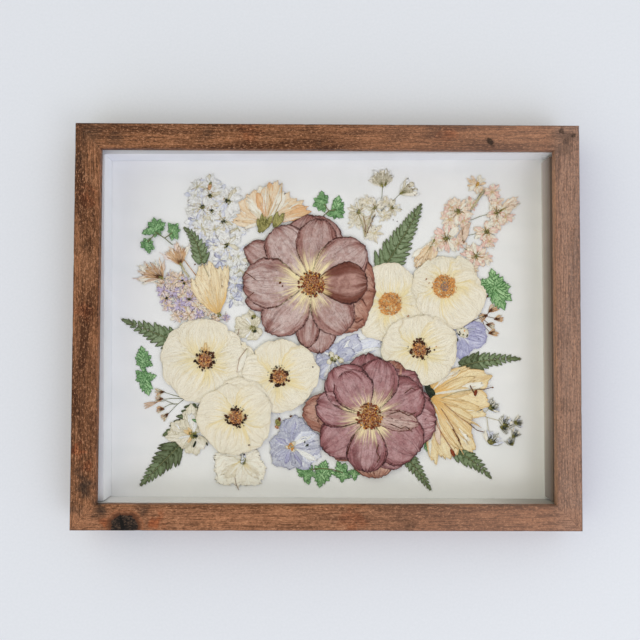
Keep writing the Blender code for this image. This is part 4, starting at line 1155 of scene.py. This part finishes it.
# Layer, blades as (x, y, lobes), each lobe (angle, reach), and stalks
LEAVES = {
    "leaf_1": (2,
        (
            (-135.4, 76.5, (
                (139, 8), (99, 9), (63, 8.8), (33, 9), (2, 7), (-49, 6.5), (-94, 6.7), (199, 11),
            )),
            (-141.6, 63.8, ((160, 6), (198, 5.7), (-76, 7), (-30, 6.5), (33, 5.2), (67, 6), (118, 6))),
            (-121.2, 75, ((122, 7.5), (61, 7), (7, 5.5), (-63, 7.5), (-100, 7.4), (186, 4.8))),
        ),
        (
            ((-135.4, 74), (-128.1, 69.2), (-121.7, 63.8)), ((-141.6, 66), (-135.4, 72.5)),
            ((-128.1, 69.2), (-122, 73.5)),
        ),
    ),
    "leaf_2": (0,
        (
            (-144, -28, ((98, 12), (153, 7.3), (204, 6), (270, 8), (-23, 8), (37, 7.6))),
            (-143, -41, ((90, 8), (140, 9), (195, 7.2), (245, 7.2), (-75, 14), (-10, 6.8), (12, 9.4))),
        ),
        (),
    ),
    "leaf_3": (0,
        (
            (-4.2, 98.6, ((91, 9), (50, 7.3), (156, 7.1), (203, 7.8), (250, 7.6), (-74, 8.3), (0, 5.1))),
            (6.7, 90.1, ((79, 14), (29, 7.5), (5, 7.4), (-30, 7.3), (-103, 5.2), (191, 7.4), (130, 5))),
        ),
        (((-2.7, 87.7), (1.4, 91.6), (6.7, 92.5)), ((-2.5, 97), (1.4, 91.6))),
    ),
    "leaf_4": (1,
        (
            (133.1, 31, (
                (100, 15.2), (156, 14), (176, 11.6), (207, 8.3), (56, 10.7), (6, 12), (-37, 16),
                (-67, 18.5), (-99, 12.4),
            )),
        ),
        (),
    ),
    "leaf_5": (0,
        (
            (-16, -115, ((145, 9.2), (196, 6.3), (-75, 8.9), (101, 8.6), (50, 8), (-5, 8))),
            (-3.4, -115.5, ((-100, 10.7), (-42, 7.9), (10, 10), (75, 11), (131, 8.6), (201, 7))),
            (12.9, -115.8, ((175, 8), (-96, 6.4), (-20, 7), (113, 11), (77, 9))),
            (22.3, -115, ((5, 5.2), (-90, 5.7), (165, 6), (69, 4.8))),
        ),
        (((-12, -112), (-3.4, -111), (5, -112), (13, -114.5)),),
    ),
    "leaf_6": (0, ((80.5, -87, ((80, 8), (170, 4), (-100, 10.5), (-10, 4))),), ()),
}


def make_leaves():
    """Bright green leaves: pointed lobes round a middle."""
    for seed, (name, (layer, blades, stalks)) in enumerate(LEAVES.items(), 91):
        plant = Plant(name + "_blade", seed)
        low = LAYERS[layer]
        for path in stalks:
            plant.tube([(x, y, low + 0.3) for x, y in path], 0.4, "stalk_green")
        for x, y, lobes in blades:
            plant.grain(x, y, low + 0.05, 1.8, "leaf", flat=0.05, sides=9)
            for i, (angle, reach) in enumerate(lobes):
                lobe(plant, x, y, angle, reach, low + 0.03 * (i % 4))
        plant.make(name)


def lobe(plant, x, y, angle, reach, height):
    """A leaf's lobe: a pointed blade with toothed points down both sides."""
    long, wide = 1.05 * reach, 0.46 * reach + 1.8
    plant.blade((x, y), angle, long, wide, height, "leaf", pointed, rows=24, saw=4, teeth=0.3)
    for side in (-1, 1):
        for share, lean, size in ((0.05, 34, 0.6), (0.3, 40, 0.46), (0.55, 34, 0.34)):
            turn = angle + side * (lean + plant.rng.uniform(-6, 6))
            at = away(x, y, share * reach, radians(angle), height)[:2]
            short = reach * size * plant.rng.uniform(0.8, 1.15)
            lift = height + 0.03 * side + 0.06 * share
            wide = 0.46 * short + 0.8
            plant.blade(at, turn, 1.08 * short, wide, lift, "leaf", pointed, rows=14, columns=6, saw=2)


# ---------------------------------------------------------------- sprays

# Layer, look, stalks, open florets (x, y, radius, petals), side-on florets (x, y, angle, reach,
# spread) and buds (x, y, angle, length, width), each with its own look where it differs
SPRAYS = {
    "white_larkspur": (0, "white",
        (((-92.4, 112), (-92, 95), (-84, 66), (-76, 17)), ((-88, 82), (-98, 95)), ((-86, 76), (-79.8, 99))),
        (
            (-92.4, 112.5, 9.5, 4), (-105, 103, 8, 4), (-103, 110, 7.5, 4), (-106, 92, 7, 4),
            (-86, 106, 9, 4), (-103, 84, 9, 4, "ice"), (-98.5, 77, 11, 4), (-89, 76, 10, 4),
            (-71, 78, 9, 4), (-89, 64, 9, 4, "ice"), (-70, 55, 10, 4), (-84, 52, 9, 4, "ice"),
            (-69, 44, 8, 4), (-77, 45, 10, 4), (-84, 38, 7, 4), (-72, 33, 8, 4, "ice"),
            (-74, 22, 9, 4, "ice"), (-79, 28, 7, 4), (-92.8, 103.4, 10, 5), (-98.6, 94.1, 13, 5),
            (-91.5, 91.2, 10, 5), (-78.9, 99.3, 13.5, 5), (-81.8, 82.8, 12, 5), (-79.5, 64, 12.5, 5),
        ),
        (), (),
    ),
    "purple_spray": (1, "lilac",
        (
            ((-92, 9.5), (-106, 22), (-113, 38), (-115.2, 49)), ((-112, 34), (-123, 38), (-129.5, 37)),
            ((-108, 26), (-120, 27), (-128.7, 27.7), (-126, 16)), ((-104, 18), (-111, 9), (-117.6, 8)),
            ((-92, 9.5), (-88, 4.6), (-79.3, 5.2)),
        ),
        (
            (-123.1, 39.5, 5, 4), (-117, 37.1, 6.5, 4, "tan"), (-128.7, 27.7, 6.5, 4, "violet"),
            (-120.3, 26.9, 5.5, 4, "violet"), (-107.8, 30.4, 6.5, 4), (-108.6, 21.2, 8, 5, "violet"),
            (-101.5, 15.4, 6.5, 4), (-108.4, 8.2, 6.5, 4, "tan"), (-117.6, 8, 6, 4), (-125.3, 15.9, 5.5, 4),
            (-79.3, 6.4, 3.6, 4, "violet"), (-112.5, 33.5, 6, 5), (-122.5, 33, 6, 4),
            (-114, 24.5, 6, 4, "tan"), (-126, 21.5, 6, 5), (-116, 16.5, 6.5, 4, "violet"),
            (-104.5, 24, 6, 4, "tan"), (-93.5, 12, 5.5, 4, "tan"), (-101, 9, 5.5, 4, "violet"),
            (-88, 6, 4.5, 4, "tan"), (-110.5, 14.5, 6, 4), (-131, 33, 5, 4, "tan"),
        ),
        (
            (-115.2, 48, 106, 18, 80, "amber_fan"), (-129.5, 37, 122, 15, 60, "amber_fan"),
            (-130.5, 38, 163, 19, 52, "tan"),
        ),
        (),
    ),
    "cream_sprig": (0, "ivory",
        (
            ((30.2, 71.9), (36.8, 88), (43.5, 103), (44, 112)), ((30.2, 71.9), (31, 80), (26, 90)),
            ((36, 86), (47, 95), (58.5, 106)),
        ),
        (
            (51.7, 94.1, 8, 5), (37.8, 94.4, 9, 5), (25, 91, 10, 5), (36.5, 74, 8, 4, "cream_thin"),
            (29, 84, 7, 4, "cream_thin"), (45.5, 88, 6, 4, "cream_thin"), (22, 84, 7, 4, "cream_thin"),
            (31.5, 99, 6, 4, "cream_thin"), (46, 99, 5, 4, "cream_thin"),
        ),
        ((44, 111, 115, 14, 70), (46, 112, 75, 12, 40), (58, 105.5, 30, 14, 62)),
        ((31.5, 80.5, 95, 18, 8, "tan"),),
    ),
    "pink_spray": (1, "pink",
        (
            ((106, 64), (110, 78), (114.5, 93), (122, 107), (118.8, 113)), ((110, 78), (105.7, 90)),
            ((112, 84), (122, 88), (133, 91)), ((106, 64), (95, 70.5)), ((109, 72), (118, 74), (126, 75)),
            ((106, 64), (116, 58), (115.5, 47)),
        ),
        (
            (118.5, 112.5, 8.5, 4, "peach"), (131, 107, 8, 4, "rosy"), (134.5, 98, 6, 4, "rosy"),
            (114, 98, 6, 4, "rosy"), (97.5, 85.5, 9, 4, "rosy"), (108, 84, 7, 4, "rosy"),
            (103.5, 91.6, 12, 5), (98, 95, 7, 4, "rosy"), (134.5, 84, 7, 4, "rosy"), (141.5, 88.5, 7, 4),
            (134.5, 91, 10.5, 5), (86, 66, 7, 4), (104, 66.5, 7, 4, "rosy"), (94.5, 69.8, 12, 5),
            (128, 68, 7, 4, "rosy"), (126.4, 75.5, 10, 5), (113, 60, 6, 4), (124, 55, 7, 4, "rosy"),
            (118, 56.5, 11, 5), (115, 45.5, 6, 4, "peach"),
        ),
        ((85, 69, 244, 26, 18, "peach"), (137, 92, 30, 16, 14)),
        ((109.5, 78, 72, 13, 5.5, "tan"), (106, 70, 70, 14, 4, "tan")),
    ),
    "bud_spray_left": (0, "bud_tan",
        (
            ((-109.5, -57), (-119.2, -54.6), (-128.5, -51.7)), ((-112, -57), (-121, -56.8), (-131, -58)),
            ((-111.7, -57.4), (-117.6, -62), (-124.5, -69.5)),
            ((-117, -61), (-123, -61.5), (-128.5, -64.5)), ((-119, -61.5), (-126, -58.6), (-133, -59.5)),
        ),
        (), (),
        (
            (-130.8, -51.9, 185, 7.5, 6.5), (-131.2, -57.3, 185, 6.5, 5.5), (-130.4, -65.2, 180, 7, 6.5),
            (-126.4, -70.8, 222, 7, 6.5), (-137.5, -61.2, 198, 12, 2.4, "tan"),
        ),
    ),
    "bud_spray_right": (0, "bud_tan",
        (
            ((114.5, 4.5), (124.5, 8.7), (131, 13.5)), ((124.5, 8.7), (134, 6.8)),
            ((122, 7.5), (127.5, 3), (129, 1.5)), ((122, 7.5), (125, 0), (129.5, -5)),
        ),
        (), (),
        (
            (131, 14.4, 40, 9, 8), (136, 6.8, 10, 8, 7), (129.6, 1.4, 350, 8, 7), (131.4, -4.6, 5, 8, 7),
            (123.5, 8.2, 200, 8, 5),
        ),
    ),
    "bud_twig": (0, "bud_tan",
        (((111.5, 16.2), (120, 21), (127.5, 25.4)),), (), (),
        (
            (111.5, 16, 32, 3.4, 1.3, "bud_dark"), (113.5, 18.3, 32, 3.4, 1.2, "stalk_brown"),
            (115.5, 17.3, 32, 3.4, 1.3, "bud_dark"), (117.8, 19.9, 32, 3.4, 1.2, "stalk_brown"),
            (119.6, 19.3, 32, 3, 1.2, "bud_dark"), (121.8, 22.4, 30, 3.6, 1.4, "bud_dark"),
            (125.5, 23.6, 30, 5, 2, "bud_dark"),
        ),
    ),
    "thistle_sprig": (1, "fluff",
        (
            ((118, -68), (128, -71.5), (142, -75), (148.3, -74.2)), ((122, -69.5), (128.7, -63.3)),
            ((126, -71), (127.8, -85.5)), ((142, -77), (146.5, -82), (146.4, -88.2)),
        ),
        (), (),
        (
            (131.7, -62.3, 20, 10, 7.5), (142, -74.6, 60, 10, 9), (140.5, -79, -10, 9, 6),
            (151, -74.2, 20, 8, 6.5), (131, -87, 60, 12, 11), (148.5, -83.5, 55, 9, 5),
            (144.4, -89.6, 120, 8, 5.5),
        ),
    ),
}
STALKS = {"bud_spray_right": "stalk_brown", "bud_twig": "stalk_brown", "thistle_sprig": "stalk_pale"}
SPRAY_TURN = 37.0  # each open floret is turned this much further than the one before


def open_floret(plant, x, y, radius, count, turn, height, look):
    """A small open flower, face up: three rings of narrow ragged petals. Those with five
    petals or more show a dark eye and a few stamens."""
    rng = plant.rng
    outer = count + 5 + int(radius / 3)
    for ring, (share, many) in enumerate(((1.0, outer), (0.8, outer - 2), (0.55, count + 2))):
        for k in range(many):
            angle = turn + 360 * (k + 0.5 * ring) / many + rng.uniform(-16, 16)
            reach = share * radius * rng.uniform(0.74, 1.1)
            width = reach * rng.uniform(0.2, 0.44)
            lift = height + 0.03 * (k % 4) + 0.08 * ring
            plant.blade(
                (x, y), angle, reach, width, lift, rng.choice(MIXES[look]), slender,
                bend=rng.uniform(-0.2, 0.2), ruffle=0.22, ragged=0.09, fold=0.25, rows=11, columns=6,
            )
    top = height + 0.25
    fleck, share = FLECKS.get(look, ("stalk_pale", None))
    for _ in range(int(radius * share) if share else 2):
        a, r = rng.uniform(0, 2 * pi), radius * rng.uniform(0.3, 0.85)
        at = away(x, y, r, a, top + 0.05)
        way = a + rng.uniform(-0.7, 0.7)
        end = away(*at[:2], rng.uniform(0.8, 2.6), way, top + 0.05)
        plant.tube([at, end], rng.uniform(0.07, 0.15), fleck, sides=3)
    if count < 5:
        return
    blush = look in ("pink", "rosy")
    for _ in range(22 if blush else 9):
        a, r = rng.uniform(0, 2 * pi), radius * rng.uniform(0.2, 0.5 if blush else 0.42)
        end = away(x, y, r, a, top + 0.15)
        plant.tube([(x, y, top), end], 0.12 if blush else 0.09, rng.choice(("olive", "stalk_brown")), sides=3)
        plant.grain(*end, rng.uniform(0.2, 0.36), "amber", rings=1)
    eye = "dark_green" if look in FLECKS else "olive"
    plant.cluster(x, y, top, 0.12 * radius, 8, 0.045 * radius + 0.12, eye)
    plant.cluster(x, y, top, 0.22 * radius, 9, 0.035 * radius + 0.1, "olive")


def side_floret(plant, x, y, angle, reach, spread, height, look):
    """A small flower pressed from its side: pale thin petals behind a fan of darker strands,
    from a calyx."""
    rng = plant.rng
    behind = MIXES["tan" if look == "amber_fan" else look]
    strands = "amber_fan" if look == "tan" else look
    layers = (
        (14, 1.06, 0.16 if strands == "amber_fan" else 0.26, 1.1, 0.0, behind),
        (22, 0.84, 0.1, 0.9, 0.12, (strands, strands, behind[0])),
    )
    for many, share, wide, opening, lift, looks in layers:
        for k in range(many):
            way = angle + opening * spread * ((k * 5 % many) / (many - 1) - 0.5) + rng.uniform(-6, 6)
            long = share * reach * rng.uniform(0.66, 1.0)
            plant.blade(
                (x, y), way, long, long * wide * rng.uniform(0.7, 1.5), height + lift + 0.02 * (k % 6),
                rng.choice(looks), slender, bend=rng.uniform(-0.2, 0.2), ruffle=0.25, ragged=0.12,
                fold=0.25, rows=14, columns=5,
            )
    for k in range(11):
        way = radians(angle + spread * ((k * 3 % 11) / 10 - 0.5) * 0.7)
        far = reach * rng.uniform(0.2, 0.55)
        thread = [(x, y, height + 0.3), away(x, y, far, way, height + 0.3)]
        thick, tone = (rng.uniform(0.1, 0.24), "bud_dark") if strands == "amber_fan" else (0.12, "olive")
        plant.tube(thread, thick, tone, sides=3, taper=0.4)
    calyx = away(x, y, 0.8, radians(angle), height + 0.25)
    plant.grain(*calyx, 0.9, "olive", angle=angle, long=2.0)


def bud(plant, x, y, angle, length, width, height, look):
    """A dry bud or seed head, pressed from its side."""
    rng = plant.rng
    foot = away(x, y, -0.5 * length, radians(angle), height)[:2]
    if look in PETAL_LOOKS:
        for k in (-1, 0, 1):
            lift = height + 0.03 * k
            plant.blade(foot, angle + 9 * k, length, width * 0.6, lift, look, slender, ruffle=0.12, rows=12)
    elif look == "fluff":
        for k in range(22):
            way = angle + 92 * ((k * 7 % 22) / 21 - 0.5) * width / length * 1.3 + rng.uniform(-6, 6)
            lift = height + 0.03 * (k % 6)
            long = length * rng.uniform(0.66, 0.95)
            wide = width * rng.uniform(0.18, 0.32)
            tuft = rng.choice(("grey_tuft", "grey_tuft", "grey_tuft", "cream_thin", "ice"))
            plant.blade(foot, way, long, wide, lift, tuft, rounded, 0.0, 0.2, 0.08, rows=10)
        for k in range(13):
            way = angle + 80 * (k / 12 - 0.5) * width / length * 1.3 + rng.uniform(-5, 5)
            long = length * rng.uniform(0.25, 0.5)
            wide, lift = 0.13 * width, height + 0.2
            plant.blade(foot, way, long, wide, lift, "sepal", slender, 0.0, 0.15, 0.06, rows=8)
        for k in range(16):
            way = radians(angle + 90 * (k / 15 - 0.5) * width / length + rng.uniform(-8, 8))
            near, far = length * rng.uniform(0.2, 0.5), length * rng.uniform(0.5, 0.8)
            ends = [away(*foot, r, way, height + 0.3) for r in (near, far)]
            plant.tube(ends, rng.uniform(0.12, 0.26), "dark_green", sides=4, taper=0.5)
    elif length < 2 * width:
        for k in range(11):
            way = angle + 50 * ((k * 4 % 11) / 10 - 0.5) + rng.uniform(-5, 5)
            long = length * rng.uniform(0.7, 1.05)
            lift = height + 0.03 * (k % 5)
            tone = rng.choice(("tan", "amber_fan", "ivory"))
            plant.blade(foot, way, long, width * 0.2, lift, tone, slender, 0.0, 0.2, 0.08, rows=10)
        for k in range(7):
            way = radians(angle + 44 * (k / 6 - 0.5))
            far = length * rng.uniform(0.35, 0.8)
            ends = [(*foot, height + 0.3), away(*foot, far, way, height + 0.3)]
            plant.tube(ends, rng.uniform(0.15, 0.32), "bud_dark", sides=4, taper=0.4)
    else:
        plant.grain(x, y, height + 0.3, width / 2, look, flat=0.28, angle=angle, long=length / width, sides=9)


def make_sprays():
    for seed, (name, parts) in enumerate(SPRAYS.items(), 111):
        layer, look, stalks, open_florets, side_florets, buds = parts
        plant = Plant(name + "_sprig", seed)
        low = LAYERS[layer]
        stalk = STALKS.get(name, "stalk_green")
        for path in stalks:
            plant.tube([(x, y, low - 0.1) for x, y in path], 0.24, stalk, taper=0.8)
        for i, (x, y, radius, count, *own) in enumerate(open_florets):
            tone = own[0] if own else look
            open_floret(plant, x, y, radius, count, SPRAY_TURN * i, low + 0.06 * (i % 4), tone)
        for x, y, angle, reach, spread, *own in side_florets:
            side_floret(plant, x, y, angle, reach, spread, low + 0.05, own[0] if own else look)
        for x, y, angle, length, width, *own in buds:
            bud(plant, x, y, angle, length, width, low, own[0] if own else look)
        add_extras(plant, name, low + 0.35)
        plant.make(name)


# ---------------------------------------------------------------- stage

FLOOR_REACH = 3  # how far the floor runs to each side of the middle
CAMERA_OVER = (-0.00907, -0.01292)  # the point of the front that the camera is over
CAMERA_ABOVE = 0.52374  # how high it is above the front
CAMERA_TILT = (0.03269, -0.00689, 0.00346)
CAMERA_LENS = 39.375
SKY = (0.743, 0.745, 0.758)  # the same from every side
# A way, and the light that the sky gains towards it
GLOWS = (((-1, 0, 0), (0.5, 0.453, 0.124)), ((0, -1, 0), (0, 0, 0.2)))
# From what height the sky grows dim, where it is dimmest, and its strength below and there
DIM_OVERHEAD = {"From Min": 0.9, "From Max": 0.955, "To Min": 1.14, "To Max": 0.2}


def light_sky(tree, background):
    """A soft room light, warmer to the left, a little cooler below the picture, and dim
    overhead, so that the pane mirrors little of it."""

    def vector(operation, inputs, output=0):
        return add_node(tree, "VectorMath", inputs, operation=operation).outputs[output]

    way = add_node(tree, "TexCoord", {}).outputs["Generated"]
    total = SKY
    for towards, gain in GLOWS:
        lean = vector("DOT_PRODUCT", {0: way, 1: towards}, "Value")
        facing = add_node(tree, "Math", {0: lean, 1: 0.0}, operation="MAXIMUM").outputs[0]
        total = vector("ADD", {0: total, 1: vector("SCALE", {0: gain, "Scale": facing})})
    up = add_node(tree, "SeparateXYZ", {0: way}).outputs["Z"]
    inputs = {"Value": up} | DIM_OVERHEAD
    dim = add_node(tree, "MapRange", inputs, interpolation_type="SMOOTHSTEP").outputs["Result"]
    tree.links.new(total, background.inputs["Color"])
    tree.links.new(dim, background.inputs["Strength"])


def make_stage():
    """A pale floor, a soft room light with a window below and to the right, and the camera."""
    data = bpy.data.meshes.new("floor")
    far = FLOOR_REACH
    data.from_pydata([(-far, -far, 0), (far, -far, 0), (far, far, 0), (-far, far, 0)], [], [(0, 1, 2, 3)])
    data.materials.append(floor_look())
    floor = show("floor", data)

    light("window", azimuth=-40, elevation=50, distance=1.9, size=0.9, power=5.3)

    world = bpy.data.worlds.new("studio")
    bpy.context.scene.world = world
    world.use_nodes = True
    background = world.node_tree.nodes["Background"]
    light_sky(world.node_tree, background)

    camera = show("camera", bpy.data.cameras.new("camera"))
    camera.location = (*CAMERA_OVER, DEPTH + CAMERA_ABOVE)
    camera.rotation_euler = CAMERA_TILT
    camera.data.sensor_width = 36
    camera.data.lens = CAMERA_LENS
    camera.data.clip_start = 0.01
    bpy.context.scene.camera = camera
    bpy.context.scene.view_settings.view_transform = "Standard"


def light(name, azimuth, elevation, distance, size, power):
    """A square soft light that looks at the frame's middle."""
    lamp = bpy.data.lights.new(name, "AREA")
    lamp.energy = power
    lamp.size = size
    made = show(name, lamp)
    a, e = radians(azimuth), radians(elevation)
    way = Vector((cos(a) * cos(e), sin(a) * cos(e), sin(e)))
    made.location = way * distance
    made.rotation_euler = way.to_track_quat("Z", "Y").to_euler()
    made.visible_glossy = False
    made.visible_transmission = False


make_frame()
make_roses()
make_cream_flowers()
make_blooms()
make_ferns()
make_leaves()
make_sprays()
make_stage()
